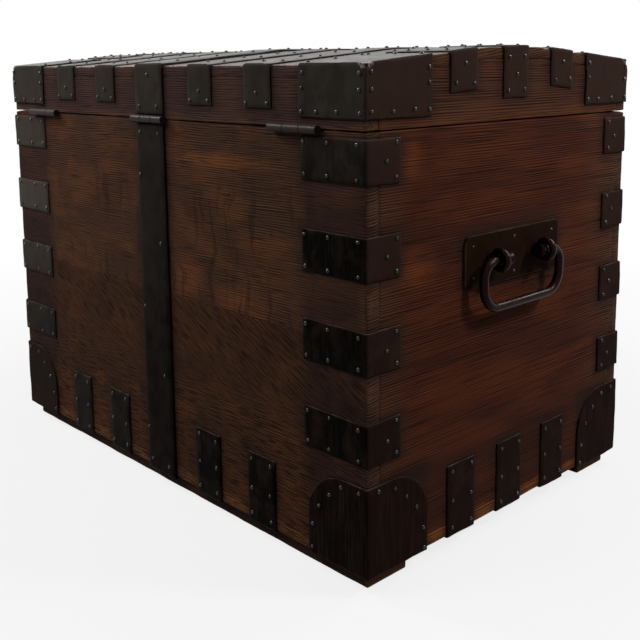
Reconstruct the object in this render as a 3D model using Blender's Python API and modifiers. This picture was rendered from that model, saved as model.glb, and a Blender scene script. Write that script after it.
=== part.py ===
"""Silver chest: a heavy oak box bound in black iron straps.

The lid is canted and swings on three hinges at the back, a drop handle hangs at each end,
and a link-plate lock is let into the front board. Metres, +Z up, floor at zero,
front towards -Y, hinges towards +Y.
"""

import math

import bmesh
import bpy
from mathutils import Matrix, Vector

# Boards of the carcase
LENGTH = 0.768
DEPTH = 0.500
CARCASE_HEIGHT = 0.4765
BOARD = 0.020
BOTTOM_BOARD = 0.016
ARRIS = 0.0012
LONG_SEAM_HEIGHT = 0.252
END_SEAM_HEIGHT = 0.334
SEAM_WIDTH = 0.0012
SEAM_DEPTH = 0.0015

# Runners that the chest stands on
RUNNER_HEIGHT = 0.020
RUNNER_WIDTH = 0.063
RUNNER_END_INSET = 0.010
RUNNER_SIDE_INSET = 0.0105
RUNNER_NOSE = 0.005

# Lid boards
LID_GAP = 0.001
LID_HEIGHT = 0.0665
LID_RISE = 0.0175
LID_FLAT = 0.100
LID_TOP_BOARD = 0.0135

# Irons
IRON = 0.002
SEAT = 0.0003
SINK = 0.0002
FOLD_SHARE = 0.73
CORNER_STRAPS = 4
CORNER_STRAP_WIDTH = 0.047
CORNER_STRAP_LONG_LEG = 0.095
CORNER_STRAP_END_LEG = 0.051
CORNER_STRAP_RIM_GAP = 0.007
CORNER_STRAP_SHOE_GAP = 0.023
SHOE_HEIGHT = 0.101
SHOE_LONG_LEG = 0.090
SHOE_END_LEG = 0.096
SHOE_ROUND = 0.057
BAND_WIDTH = 0.050
BAND_RISE = 0.086
BAND_SHOE_GAP = 0.058
END_BAND_SHOE_GAP = 0.035
LID_CORNER_LONG_LEG = 0.097
LID_CORNER_END_LEG = 0.100
LID_CORNER_DROP = 0.055
LID_BAND_WIDTH = 0.047
LID_BAND_DROP = 0.047
LID_BAND_CORNER_GAP = 0.0465
LID_END_BAND_CORNER_GAP = 0.031
LID_END_BAND_DROP = 0.044
LID_END_MIDDLE_DROP = 0.058
LID_END_BAND_RUN = 0.095

# Hinges
HINGE_IRON = 0.0035
BARREL_RADIUS = 0.005
PIN_RADIUS = 0.0024
PIN_PLAY = 0.0003
KNUCKLE_GAP = 0.0005
CENTRE_BARREL = 0.070
CENTRE_STRAP_WIDTH = 0.062
SIDE_BARREL = 0.078
SIDE_HINGE_END_INSET = 0.103
LEAF = 0.0015
LEAF_GAP = 0.0005
LEAF_REACH = 0.014

# Drop handles
PLATE_LENGTH = 0.186
PLATE_HEIGHT = 0.062
PLATE_ROUND = 0.009
PLATE_THICKNESS = 0.003
HANDLE_HEIGHT = 0.319
EYE_SPACING = 0.092
EYE_ROD = 0.0042
EYE_SINK = 0.001
EYE_COLLAR_RADIUS = 0.0085
EYE_COLLAR_HEIGHT = 0.004
BAIL_ROD = 0.0055
BAIL_PLAY = 0.0006
BAIL_WIDTH = 0.151
BAIL_DROP = 0.055
BAIL_SHOULDER = 0.018
BAIL_CORNER = 0.027
BAIL_HEAD_RADIUS = 0.0088
BAIL_HEAD_LENGTH = 0.0125

# Lock
LOCK_LENGTH = 0.104
LOCK_HEIGHT = 0.062
LOCK_THICKNESS = 0.018
LOCK_COVER = 0.005
LINK_PLATE_LENGTH = 0.070
LINK_PLATE_WIDTH = 0.012
LINK_PLATE = 0.0025
LINK_EYE_X = -0.020
LINK_EYE_SETBACK = 0.0125
LINK_EYE_WIDTH = 0.010
LINK_EYE_THICKNESS = 0.004
LINK_EYE_DROP = 0.018
LINK_EYE_WALL = 0.0017
LINK_EYE_PLAY = 0.001
BOLT_LENGTH = 0.036
BOLT_WIDTH = 0.005
BOLT_HEIGHT = 0.007
BOLT_DEPTH = 0.0105
BOLT_PLAY = 0.0003
BOLT_THROW = 0.010
KEYHOLE_RADIUS = 0.004
KEYHOLE_SLOT = 0.0045
KEYHOLE_LENGTH = 0.013
KEYHOLE_DROP = 0.036
KEY_SOCKET = 0.010

# Places that follow from the sizes above
CARCASE_BOTTOM = RUNNER_HEIGHT
CARCASE_TOP = CARCASE_BOTTOM + CARCASE_HEIGHT
LID_BOTTOM = CARCASE_TOP + LID_GAP
JOINT_Z = CARCASE_TOP + LID_GAP / 2
EAVE_Z = LID_BOTTOM + LID_HEIGHT
HINGE_Y = DEPTH / 2 + SEAT + BARREL_RADIUS
SIDE_HINGE_X = LENGTH / 2 - SIDE_HINGE_END_INSET
PLATE_Z = CARCASE_BOTTOM + HANDLE_HEIGHT
EYE_RING = BAIL_ROD + BAIL_PLAY + EYE_ROD
PLATE_FACE_X = LENGTH / 2 + SEAT + PLATE_THICKNESS
BAIL_X = PLATE_FACE_X + EYE_RING + EYE_ROD - EYE_SINK
OUTER_BAND_X = LENGTH / 2 - SHOE_LONG_LEG - BAND_SHOE_GAP - BAND_WIDTH / 2
END_BAND_Y = DEPTH / 2 - SHOE_END_LEG - END_BAND_SHOE_GAP - BAND_WIDTH / 2
OUTER_LID_BAND_X = LENGTH / 2 - LID_CORNER_LONG_LEG - LID_BAND_CORNER_GAP - LID_BAND_WIDTH / 2
LID_END_BAND_Y = DEPTH / 2 - LID_CORNER_END_LEG - LID_END_BAND_CORNER_GAP - LID_BAND_WIDTH / 2
LINK_EYE_Y = -DEPTH / 2 + LINK_EYE_SETBACK
BOLT_Z = CARCASE_TOP - BOLT_DEPTH
BOLT_TIP_X = LINK_EYE_X + LINK_EYE_THICKNESS / 2 + LINK_EYE_PLAY + BOLT_PLAY
KEYHOLE_Z = CARCASE_TOP - KEYHOLE_DROP

# Colours as red, green, blue, with roughness and metallic value
OAK = ((0.088, 0.034, 0.016), 0.62, 0.0)
OAK_TOP = ((0.105, 0.055, 0.036), 0.55, 0.0)
OAK_INSIDE = ((0.26, 0.15, 0.075), 0.75, 0.0)
BLACK_IRON = ((0.020, 0.018, 0.016), 0.45, 0.7)
WORN_IRON = ((0.055, 0.045, 0.042), 0.32, 0.85)

# How finely round things are drawn, how far cutters run past a face, how close points weld,
# and the angle above which a round piece's edge stays sharp
ROUND_SIDES = 16
ROD_SIDES = 12
RING_STEPS = 24
ARC_STEPS = 6
CUT_OVERRUN = 0.01
WELD = 0.000001
SHARP_ANGLE = math.radians(40)
UP = Vector((0, 0, 1))
ALONG = Vector((1, 0, 0))
CHEST_CENTRE = Vector((0, 0, JOINT_Z / 2))


def clear_scene():
    """Empties the file of objects and makes the two collections."""
    for old in list(bpy.data.objects):
        bpy.data.objects.remove(old, do_unlink=True)
    for name in ("silver_chest", "cutters"):
        collection = bpy.data.collections.new(name)
        bpy.context.scene.collection.children.link(collection)


def add_piece(name, mesh, finish, location=(0, 0, 0), pivot=None):
    """Puts a named piece in the chest with a material of its own, hung on a pivot if it moves."""
    colour, roughness, metallic = finish
    material = bpy.data.materials.new(name + "_finish")
    material.use_nodes = True
    shader = material.node_tree.nodes["Principled BSDF"]
    shader.inputs["Base Color"].default_value = (*colour, 1.0)
    shader.inputs["Roughness"].default_value = roughness
    shader.inputs["Metallic"].default_value = metallic
    mesh.materials.clear()
    mesh.materials.append(material)
    piece = bpy.data.objects.new(name, mesh)
    piece.location = location
    bpy.data.collections["silver_chest"].objects.link(piece)
    if pivot is not None:
        piece.parent = pivot
        piece.matrix_parent_inverse = Matrix.Translation(pivot.location).inverted()
    return piece


def add_pivot(name, location):
    """An empty on a joint's axis, which carries the pieces that turn about it."""
    pivot = bpy.data.objects.new(name, None)
    pivot.location = location
    pivot.empty_display_size = BOARD
    bpy.data.collections["silver_chest"].objects.link(pivot)
    return pivot


def add_cutter(name, mesh, location=(0, 0, 0)):
    """A shape that only cuts or joins other pieces."""
    cutter = bpy.data.objects.new(name, mesh)
    cutter.location = location
    cutter.hide_render = True
    cutter.display_type = "WIRE"
    bpy.data.collections["cutters"].objects.link(cutter)
    return cutter


def boolean(piece, other, operation):
    modifier = piece.modifiers.new(other.name, "BOOLEAN")
    modifier.operation = operation
    modifier.solver = "EXACT"
    modifier.object = other


def cut(piece, cutter):
    boolean(piece, cutter, "DIFFERENCE")


def fuse(piece, other):
    boolean(piece, other, "UNION")


def to_mesh(name, bm):
    mesh = bpy.data.meshes.new(name)
    bm.to_mesh(mesh)
    bm.free()
    return mesh


def box_mesh(name, size, arris=0.0):
    """A box about the origin, with its edges eased by the arris."""
    bm = bmesh.new()
    bmesh.ops.create_cube(bm, size=1.0, matrix=Matrix.Diagonal((*size, 1.0)))
    if arris:
        bmesh.ops.bevel(bm, geom=bm.edges[:], offset=arris, segments=1, affect="EDGES")
    return to_mesh(name, bm)


def box_between(low, high):
    """Size and centre of the box between two corners."""
    low = Vector(low)
    high = Vector(high)
    return high - low, (low + high) / 2


def cutter_box(name, low, high):
    size, centre = box_between(low, high)
    return add_cutter(name, box_mesh(name, size), centre)


def rod_mesh(name, radius, length, axis):
    """A round bar about the origin along an axis."""
    bm = bmesh.new()
    turn = UP.rotation_difference(Vector(axis)).to_matrix().to_4x4()
    bmesh.ops.create_cone(
        bm,
        cap_ends=True,
        segments=ROUND_SIDES,
        radius1=radius,
        radius2=radius,
        depth=length,
        matrix=turn,
    )
    mesh = to_mesh(name, bm)
    mesh.shade_smooth()
    mesh.set_sharp_from_angle(angle=SHARP_ANGLE)
    return mesh


def curve_to_mesh(name, curve):
    """A plain closed mesh from a curve, with its loose caps welded on."""
    guide = bpy.data.objects.new(name + "_curve", curve)
    bpy.context.scene.collection.objects.link(guide)
    evaluated = guide.evaluated_get(bpy.context.evaluated_depsgraph_get())
    mesh = bpy.data.meshes.new_from_object(evaluated)
    bpy.data.objects.remove(guide, do_unlink=True)
    bpy.data.curves.remove(curve)
    bm = bmesh.new()
    bm.from_mesh(mesh)
    bmesh.ops.remove_doubles(bm, verts=bm.verts[:], dist=WELD)
    bmesh.ops.recalc_face_normals(bm, faces=bm.faces[:])
    bm.to_mesh(mesh)
    bm.free()
    mesh.name = name
    return mesh


def poly_curve(name, dimensions, points, closed):
    curve = bpy.data.curves.new(name, "CURVE")
    curve.dimensions = dimensions
    spline = curve.splines.new("POLY")
    spline.points.add(len(points) - 1)
    for target, point in zip(spline.points, points):
        target.co = (*point, 1.0)
    spline.use_cyclic_u = closed
    return curve


def outline_mesh(name, outline, thickness):
    """A flat (y, z) outline given a thickness along x, about x = 0."""
    curve = poly_curve(name, "2D", [(y, z, 0.0) for y, z in outline], True)
    curve.fill_mode = "BOTH"
    curve.extrude = thickness / 2
    mesh = curve_to_mesh(name, curve)
    mesh.transform(Matrix(((0, 0, 1, 0), (1, 0, 0, 0), (0, 1, 0, 0), (0, 0, 0, 1))))
    return mesh


def rounded_path(points, radii):
    """The path through the points, with each inner corner turned in an arc of its radius."""
    path = [Vector(points[0])]
    for before, corner, after, radius in zip(points, points[1:], points[2:], radii):
        corner = Vector(corner)
        back = (Vector(before) - corner).normalized()
        ahead = (Vector(after) - corner).normalized()
        half = back.angle(ahead) / 2
        centre = corner + (back + ahead).normalized() * radius / math.sin(half)
        start = (corner + back * radius / math.tan(half) - centre).normalized()
        end = (corner + ahead * radius / math.tan(half) - centre).normalized()
        for step in range(ARC_STEPS + 1):
            path.append(centre + start.slerp(end, step / ARC_STEPS) * radius)
    path.append(Vector(points[-1]))
    return path


def ribbon_mesh(name, path, moves):
    """An open sheet swept from the path by one move after another, facing away from the chest."""
    bm = bmesh.new()
    line = [bm.verts.new(point) for point in path]
    edges = [bm.edges.new(pair) for pair in zip(line, line[1:])]
    for move in moves:
        grown = bmesh.ops.extrude_edge_only(bm, edges=edges)["geom"]
        verts = [item for item in grown if isinstance(item, bmesh.types.BMVert)]
        bmesh.ops.translate(bm, verts=verts, vec=move)
        edges = [edge for edge in bm.edges if all(vert in verts for vert in edge.verts)]
    face_away(bm)
    return to_mesh(name, bm)


def centred(path, across):
    """The path moved to one side by half the vector across, so that a sweep by it is centred."""
    return [Vector(point) - across / 2 for point in path]


def face_away(bm):
    """Turns an open surface so that its first face looks away from the middle of the chest."""
    bm.normal_update()
    bm.faces.ensure_lookup_table()
    first = bm.faces[0]
    if (first.calc_center_median() - CHEST_CENTRE).dot(first.normal) < 0:
        bmesh.ops.reverse_faces(bm, faces=bm.faces[:])


def forge(piece, thickness):
    """Gives a folded sheet its thickness on the outside and rounds its outer folds."""
    solid = piece.modifiers.new("iron", "SOLIDIFY")
    solid.thickness = thickness
    solid.offset = 1.0
    solid.use_even_offset = True
    solid.bevel_convex = 1.0
    soft = piece.modifiers.new("folds", "BEVEL")
    soft.limit_method = "WEIGHT"
    soft.width = thickness * FOLD_SHARE
    soft.segments = 2


def add_strap(name, path, across, pivot=None, location=(0, 0, 0), thickness=IRON):
    mesh = ribbon_mesh(name, centred(path, across), [across])
    strap = add_piece(name, mesh, BLACK_IRON, location, pivot)
    forge(strap, thickness)
    return strap


def lid_surface(y):
    """Height of the lid's upper face at a distance y from the middle."""
    run = max(abs(y) - LID_FLAT / 2, 0.0)
    return EAVE_Z + LID_RISE - LID_RISE * run / (DEPTH / 2 - LID_FLAT / 2)


def lid_profile(low, high, lift):
    """The canted outline of the lid between two distances from the middle, raised by the lift."""
    creases = [y for y in (-LID_FLAT / 2, LID_FLAT / 2) if low < y < high]
    return [(y, lid_surface(y) + lift) for y in (low, *creases, high)]


def in_section(points):
    """Points of a cross-section of the chest, at x = 0."""
    return [(0.0, y, z) for y, z in points]


def spread(outer):
    """Two irons on each side of the middle, the inner ones halfway out."""
    return {"far_left": -outer, "left": -outer / 2, "right": outer / 2, "far_right": outer}


def add_panel(name, low, high, seams):
    """A glued-up board panel, with an open seam along its outer face."""
    size, centre = box_between(low, high)
    panel = add_piece(name, box_mesh(name, size, ARRIS), OAK, centre)
    for seam_low, seam_high in seams:
        cut(panel, cutter_box(name + "_seam", seam_low, seam_high))
    return panel


def build_long_panels():
    """The back and front boards, which run the whole length and cover the ends."""
    panels = {}
    seam_z = CARCASE_BOTTOM + LONG_SEAM_HEIGHT
    for name, side in (("back_panel", 1), ("front_panel", -1)):
        faces = sorted((side * DEPTH / 2, side * (DEPTH / 2 - BOARD)))
        cuts = sorted((side * (DEPTH / 2 + CUT_OVERRUN), side * (DEPTH / 2 - SEAM_DEPTH)))
        seam = (
            (-LENGTH / 2 - CUT_OVERRUN, cuts[0], seam_z),
            (LENGTH / 2 + CUT_OVERRUN, cuts[1], seam_z + SEAM_WIDTH),
        )
        low = (-LENGTH / 2, faces[0], CARCASE_BOTTOM)
        high = (LENGTH / 2, faces[1], CARCASE_TOP)
        panels[name] = add_panel(name, low, high, [seam])
    return panels


def build_end_panel(name, side):
    """An end board between the long ones, with its three bottom straps nailed on."""
    reach = DEPTH / 2 - BOARD - SEAT
    seam_z = CARCASE_BOTTOM + END_SEAM_HEIGHT
    faces = sorted((side * LENGTH / 2, side * (LENGTH / 2 - BOARD)))
    cuts = sorted((side * (LENGTH / 2 + CUT_OVERRUN), side * (LENGTH / 2 - SEAM_DEPTH)))
    seam = ((cuts[0], -DEPTH / 2, seam_z), (cuts[1], DEPTH / 2, seam_z + SEAM_WIDTH))
    low = (faces[0], -reach, CARCASE_BOTTOM)
    high = (faces[1], reach, CARCASE_TOP)
    panel = add_panel(name, low, high, [seam])
    face = side * (LENGTH / 2 - SINK)
    foot = CARCASE_BOTTOM + SINK
    path = [
        (face, 0, CARCASE_BOTTOM + BAND_RISE),
        (face, 0, foot),
        (side * (LENGTH / 2 - BOARD + ARRIS), 0, foot),
    ]
    across = Vector((0, BAND_WIDTH, 0))
    for number, y in enumerate((-END_BAND_Y, 0.0, END_BAND_Y), 1):
        label = f"{name}_strap_{number}"
        mesh = ribbon_mesh(label, centred(path, across), [across])
        strap = add_cutter(label, mesh, (0, y, 0))
        forge(strap, IRON + SEAT + SINK)
        fuse(panel, strap)
    return panel


def build_bottom():
    """The bottom board inside the walls, and the two runners notched over the irons."""
    half_x = LENGTH / 2 - BOARD - SEAT
    half_y = DEPTH / 2 - BOARD - SEAT
    size, centre = box_between(
        (-half_x, -half_y, CARCASE_BOTTOM), (half_x, half_y, CARCASE_BOTTOM + BOTTOM_BOARD)
    )
    add_piece("bottom_board", box_mesh("bottom_board", size, ARRIS), OAK_INSIDE, centre)
    for name, side in (("back_runner", 1), ("front_runner", -1)):
        build_runner(name, side)


def build_runner(name, side):
    half_x = LENGTH / 2 - RUNNER_END_INSET
    outer = DEPTH / 2 - RUNNER_SIDE_INSET
    ys = sorted((side * outer, side * (outer - RUNNER_WIDTH)))
    size, centre = box_between((-half_x, ys[0], 0.0), (half_x, ys[1], RUNNER_HEIGHT - SEAT))
    bm = bmesh.new()
    bmesh.ops.create_cube(bm, size=1.0, matrix=Matrix.Diagonal((*size, 1.0)))
    noses = []
    for edge in bm.edges:
        one, two = (vert.co for vert in edge.verts)
        if one.z < 0 and two.z < 0 and one.y * two.y < 0:
            noses.append(edge)
    bmesh.ops.bevel(
        bm, geom=noses, offset=RUNNER_NOSE, segments=ARC_STEPS // 2, profile=0.5, affect="EDGES"
    )
    runner = add_piece(name, to_mesh(name, bm), OAK, centre)
    notches = [(x, BAND_WIDTH / 2, IRON) for x in spread(OUTER_BAND_X).values()]
    notches.append((0.0, CENTRE_STRAP_WIDTH / 2, HINGE_IRON))
    for x in (-LENGTH / 2, LENGTH / 2):
        notches.append((x, SHOE_LONG_LEG, IRON))
    for number, (x, half, iron) in enumerate(notches, 1):
        floor = CARCASE_BOTTOM - SEAT - iron - SEAT
        low = (x - half - SEAT, ys[0] - CUT_OVERRUN, floor)
        high = (x + half + SEAT, ys[1] + CUT_OVERRUN, RUNNER_HEIGHT + CUT_OVERRUN)
        cut(runner, cutter_box(f"{name}_notch_{number}", low, high))


CORNERS = {
    "back_left": (-1, 1),
    "back_right": (1, 1),
    "front_left": (-1, -1),
    "front_right": (1, -1),
}


def build_corner_straps():
    """Four angle irons up each upright corner."""
    lowest = SHOE_HEIGHT + CORNER_STRAP_SHOE_GAP + CORNER_STRAP_WIDTH / 2
    highest = CARCASE_HEIGHT - CORNER_STRAP_RIM_GAP - CORNER_STRAP_WIDTH / 2
    pitch = (highest - lowest) / (CORNER_STRAPS - 1)
    for corner, (sx, sy) in CORNERS.items():
        x = LENGTH / 2 + SEAT
        y = DEPTH / 2 + SEAT
        path = [
            (sx * x, sy * (DEPTH / 2 - CORNER_STRAP_END_LEG), 0),
            (sx * x, sy * y, 0),
            (sx * (LENGTH / 2 - CORNER_STRAP_LONG_LEG), sy * y, 0),
        ]
        for number in range(CORNER_STRAPS):
            z = CARCASE_BOTTOM + lowest + number * pitch
            name = f"corner_strap_{corner}_{number + 1}"
            add_strap(name, path, UP * CORNER_STRAP_WIDTH, location=(0, 0, z))


def corner_sheet(low, high, kept, rounded=0.0):
    """Three faces of a block folded round a corner of the chest.

    The kept directions are the faces that stay. The free outer corners of the two
    upright faces are rounded.
    """
    size, centre = box_between(low, high)
    bm = bmesh.new()
    place = Matrix.Translation(centre) @ Matrix.Diagonal((*size, 1.0))
    bmesh.ops.create_cube(bm, size=1.0, matrix=place)
    bm.normal_update()
    dropped = [face for face in bm.faces if max(face.normal.dot(Vector(k)) for k in kept) < 0.5]
    bmesh.ops.delete(bm, geom=dropped, context="FACES_ONLY")
    loose = [edge for edge in bm.edges if not edge.link_faces]
    bmesh.ops.delete(bm, geom=loose, context="EDGES")
    bare = [vert for vert in bm.verts if not vert.link_faces]
    bmesh.ops.delete(bm, geom=bare, context="VERTS")
    if rounded:
        free = [vert for vert in bm.verts if len(vert.link_faces) == 1]
        tips = [vert for vert in free if abs(vert.link_faces[0].normal.z) < 0.5]
        bmesh.ops.bevel(
            bm, geom=tips, offset=rounded, segments=ARC_STEPS, profile=0.5, affect="VERTICES"
        )
    return bm


def build_corner_shoes():
    """Plates folded round the bottom corners, quartered off in a curve at the top."""
    for corner, (sx, sy) in CORNERS.items():
        name = "corner_shoe_" + corner
        xs = sorted((sx * (LENGTH / 2 + SEAT), sx * (LENGTH / 2 - SHOE_LONG_LEG)))
        ys = sorted((sy * (DEPTH / 2 + SEAT), sy * (DEPTH / 2 - SHOE_END_LEG)))
        low = (xs[0], ys[0], CARCASE_BOTTOM - SEAT)
        high = (xs[1], ys[1], CARCASE_BOTTOM + SHOE_HEIGHT)
        bm = corner_sheet(low, high, ((sx, 0, 0), (0, sy, 0), (0, 0, -1)), SHOE_ROUND)
        shoe = add_piece(name, to_mesh(name, bm), BLACK_IRON)
        forge(shoe, IRON)


def build_lid_corners(pivot):
    """Caps folded round the lid's corners and over its sloping top."""
    for corner, (sx, sy) in CORNERS.items():
        name = "lid_corner_" + corner
        xs = sorted((sx * (LENGTH / 2 + SEAT), sx * (LENGTH / 2 - LID_CORNER_LONG_LEG)))
        ys = sorted((sy * (DEPTH / 2 + SEAT), sy * (DEPTH / 2 - LID_CORNER_END_LEG)))
        low = (xs[0], ys[0], EAVE_Z - LID_CORNER_DROP)
        high = (xs[1], ys[1], EAVE_Z)
        bm = corner_sheet(low, high, ((sx, 0, 0), (0, sy, 0), (0, 0, 1)))
        for vert in bm.verts:
            if vert.co.z > EAVE_Z - LID_CORNER_DROP / 2:
                vert.co.z = lid_surface(vert.co.y) + SEAT
        cap = add_piece(name, to_mesh(name, bm), BLACK_IRON, pivot=pivot)
        forge(cap, IRON)


def build_bottom_bands():
    """Straps that come down the back, run under the chest and up the front."""
    y = DEPTH / 2 + SEAT
    top = CARCASE_BOTTOM + BAND_RISE
    under = CARCASE_BOTTOM - SEAT
    path = in_section([(y, top), (y, under), (-y, under), (-y, top)])
    for place, x in spread(OUTER_BAND_X).items():
        add_strap("bottom_band_" + place, path, ALONG * BAND_WIDTH, location=(x, 0, 0))


def build_lid_bands(pivot):
    """Straps over the lid from the front edge to the back edge."""
    y = DEPTH / 2 + SEAT
    over = lid_profile(-y, y, SEAT)
    foot = EAVE_Z - LID_BAND_DROP
    path = in_section([(-y, foot), *over, (y, foot)])
    for place, x in spread(OUTER_LID_BAND_X).items():
        add_strap("lid_band_" + place, path, ALONG * LID_BAND_WIDTH, pivot, (x, 0, 0))


def build_lid_boards(pivot):
    """The canted top and the four rails under it."""
    half_y = DEPTH / 2
    length = LENGTH - 2 * (SEAT + SINK)
    top = lid_profile(-half_y, half_y, 0.0)
    under = lid_profile(-half_y, half_y, -LID_TOP_BOARD)
    mesh = outline_mesh("lid_top", top + under[::-1], length)
    add_piece("lid_top", mesh, OAK_TOP, pivot=pivot)
    rails = {}
    lift = -LID_TOP_BOARD - SEAT
    for name, side in (("lid_back_rail", 1), ("lid_front_rail", -1)):
        ys = sorted((side * half_y, side * (half_y - BOARD)))
        outline = [(ys[0], LID_BOTTOM), (ys[1], LID_BOTTOM), *lid_profile(*ys, lift)[::-1]]
        rails[name] = add_piece(name, outline_mesh(name, outline, LENGTH), OAK, pivot=pivot)
    reach = half_y - BOARD - SEAT
    outline = [(-reach, LID_BOTTOM), (reach, LID_BOTTOM), *lid_profile(-reach, reach, lift)[::-1]]
    for name, side in (("lid_left_end", -1), ("lid_right_end", 1)):
        mesh = outline_mesh(name, outline, BOARD)
        end = add_piece(name, mesh, OAK, (side * (LENGTH - BOARD) / 2, 0, 0), pivot)
        fuse_lid_end_straps(end, name, side)
    return rails


def fuse_lid_end_straps(end, name, side):
    """Three straps nailed down the lid's end and folded over on to the top, following its cant."""
    drops = (
        (-LID_END_BAND_Y, LID_END_BAND_DROP),
        (0.0, LID_END_MIDDLE_DROP),
        (LID_END_BAND_Y, LID_END_BAND_DROP),
    )
    face_x = side * (LENGTH / 2 - SINK)
    inner_x = side * (LENGTH / 2 - LID_END_BAND_RUN)
    for number, (y, drop) in enumerate(drops, 1):
        edge = [
            Vector((0, *point))
            for point in lid_profile(y - LID_BAND_WIDTH / 2, y + LID_BAND_WIDTH / 2, SEAT)
        ]
        start = edge[0]
        path = [
            start + Vector((face_x, 0, -drop)),
            start + Vector((face_x, 0, 0)),
            start + Vector((inner_x, 0, 0)),
        ]
        moves = [after - before for before, after in zip(edge, edge[1:])]
        label = f"{name}_strap_{number}"
        strap = add_cutter(label, ribbon_mesh(label, path, moves))
        forge(strap, IRON + SINK)
        fuse(end, strap)


def knuckle_zones(barrel):
    """Lengths along a barrel: the outer knuckles are the carcase's, the middle one the lid's."""
    third = barrel / 3
    outer = [(-barrel / 2, -third / 2 - KNUCKLE_GAP / 2), (third / 2 + KNUCKLE_GAP / 2, barrel / 2)]
    return outer, [(-third / 2 + KNUCKLE_GAP / 2, third / 2 - KNUCKLE_GAP / 2)]


def roll_knuckles(leaf, centre, own, other):
    """Clears the other leaf's knuckles, rolls this leaf's own on, and bores them for the pin."""
    for number, (low, high) in enumerate(other, 1):
        length = high - low + 2 * KNUCKLE_GAP
        label = f"{leaf.name}_clearance_{number}"
        mesh = rod_mesh(label, BARREL_RADIUS + KNUCKLE_GAP, length, ALONG)
        cut(leaf, add_cutter(label, mesh, centre + ALONG * (low + high) / 2))
    for number, (low, high) in enumerate(own, 1):
        label = f"{leaf.name}_knuckle_{number}"
        mesh = rod_mesh(label, BARREL_RADIUS, high - low, ALONG)
        fuse(leaf, add_cutter(label, mesh, centre + ALONG * (low + high) / 2))
    label = leaf.name + "_bore"
    mesh = rod_mesh(label, PIN_RADIUS + PIN_PLAY, LENGTH / 2, ALONG)
    cut(leaf, add_cutter(label, mesh, centre))


def add_pin(name, barrel, x):
    mesh = rod_mesh(name, PIN_RADIUS, barrel, ALONG)
    add_piece(name, mesh, BLACK_IRON, (x, HINGE_Y, JOINT_Z))


def build_centre_hinge(pivot):
    """A strap hinge: one strap down the back and under the chest, the other over the lid."""
    y = DEPTH / 2 + SEAT
    under = CARCASE_BOTTOM - SEAT
    front_top = CARCASE_BOTTOM + BAND_RISE
    lower_path = [(y, CARCASE_TOP), (y, under), (-y, under), (-y, front_top)]
    across = ALONG * CENTRE_STRAP_WIDTH
    lower = add_strap("hinge_strap_lower", in_section(lower_path), across, thickness=HINGE_IRON)
    over = lid_profile(-y, y, SEAT)
    upper_path = [(-y, EAVE_Z - LID_BAND_DROP), *over, (y, LID_BOTTOM)]
    upper = add_strap("hinge_strap_upper", in_section(upper_path), across, pivot, thickness=HINGE_IRON)
    centre = Vector((0, HINGE_Y, JOINT_Z))
    outer, middle = knuckle_zones(CENTRE_BARREL)
    roll_knuckles(lower, centre, outer, middle)
    roll_knuckles(upper, centre, middle, outer)
    add_pin("hinge_pin_centre", CENTRE_BARREL, 0.0)


def build_side_hinges(pivot, back_panel, back_rail):
    """Butt hinges let into the joint, with only their barrels outside."""
    outer, middle = knuckle_zones(SIDE_BARREL)
    half = SIDE_BARREL / 2
    inner_y = DEPTH / 2 - LEAF_REACH
    for place, x in (("left", -SIDE_HINGE_X), ("right", SIDE_HINGE_X)):
        centre = Vector((x, HINGE_Y, JOINT_Z))
        for part, sign, own, other, wood, hung in (
            ("lower", -1, outer, middle, back_panel, None),
            ("upper", 1, middle, outer, back_rail, pivot),
        ):
            name = f"side_hinge_{place}_{part}_leaf"
            zs = sorted((JOINT_Z + sign * LEAF_GAP / 2, JOINT_Z + sign * (LEAF_GAP / 2 + LEAF)))
            low = (x - half, inner_y, zs[0])
            high = (x + half, HINGE_Y, zs[1])
            size, place_of_leaf = box_between(low, high)
            leaf = add_piece(name, box_mesh(name, size), BLACK_IRON, place_of_leaf, hung)
            roll_knuckles(leaf, centre, own, other)
            bed = sorted((JOINT_Z - sign * CUT_OVERRUN, JOINT_Z + sign * (LEAF_GAP / 2 + LEAF + SEAT)))
            low = (x - half - SEAT, inner_y - SEAT, bed[0])
            high = (x + half + SEAT, DEPTH / 2 + CUT_OVERRUN, bed[1])
            cut(wood, cutter_box(name + "_bed", low, high))
        add_pin("hinge_pin_" + place, SIDE_BARREL, x)


def ring_mesh(name):
    """A forged eye about the origin, turned so that a rod along y passes through it."""
    bpy.ops.mesh.primitive_torus_add(
        major_segments=RING_STEPS,
        minor_segments=ROD_SIDES,
        major_radius=EYE_RING,
        minor_radius=EYE_ROD,
        rotation=(math.pi / 2, 0, 0),
    )
    ring = bpy.context.active_object
    mesh = ring.data
    mesh.transform(ring.matrix_world)
    mesh.shade_smooth()
    mesh.name = name
    bpy.data.objects.remove(ring, do_unlink=True)
    return mesh


def build_handle(side, name):
    """A plate with two eyes on the chest's end, and a bail that hangs in the eyes."""
    half_y = PLATE_LENGTH / 2
    half_z = PLATE_HEIGHT / 2
    square = [(half_y, half_z), (-half_y, half_z), (-half_y, -half_z), (half_y, -half_z)]
    start = (half_y, 0)
    outline = rounded_path([start, *square, start], [PLATE_ROUND] * 4)[:-1]
    plate_x = side * (PLATE_FACE_X - PLATE_THICKNESS / 2)
    label = name + "_handle_plate"
    mesh = outline_mesh(label, outline, PLATE_THICKNESS)
    plate = add_piece(label, mesh, BLACK_IRON, (plate_x, 0, PLATE_Z))
    face_x = side * PLATE_FACE_X
    for number, y in enumerate((-EYE_SPACING / 2, EYE_SPACING / 2), 1):
        collar = rod_mesh(f"{label}_collar_{number}", EYE_COLLAR_RADIUS, EYE_COLLAR_HEIGHT, ALONG)
        fuse(plate, add_cutter(f"{label}_collar_{number}", collar, (face_x, y, PLATE_Z)))
        eye = ring_mesh(f"{label}_eye_{number}")
        fuse(plate, add_cutter(f"{label}_eye_{number}", eye, (side * BAIL_X, y, PLATE_Z)))
    build_bail(name + "_bail", side)


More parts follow.
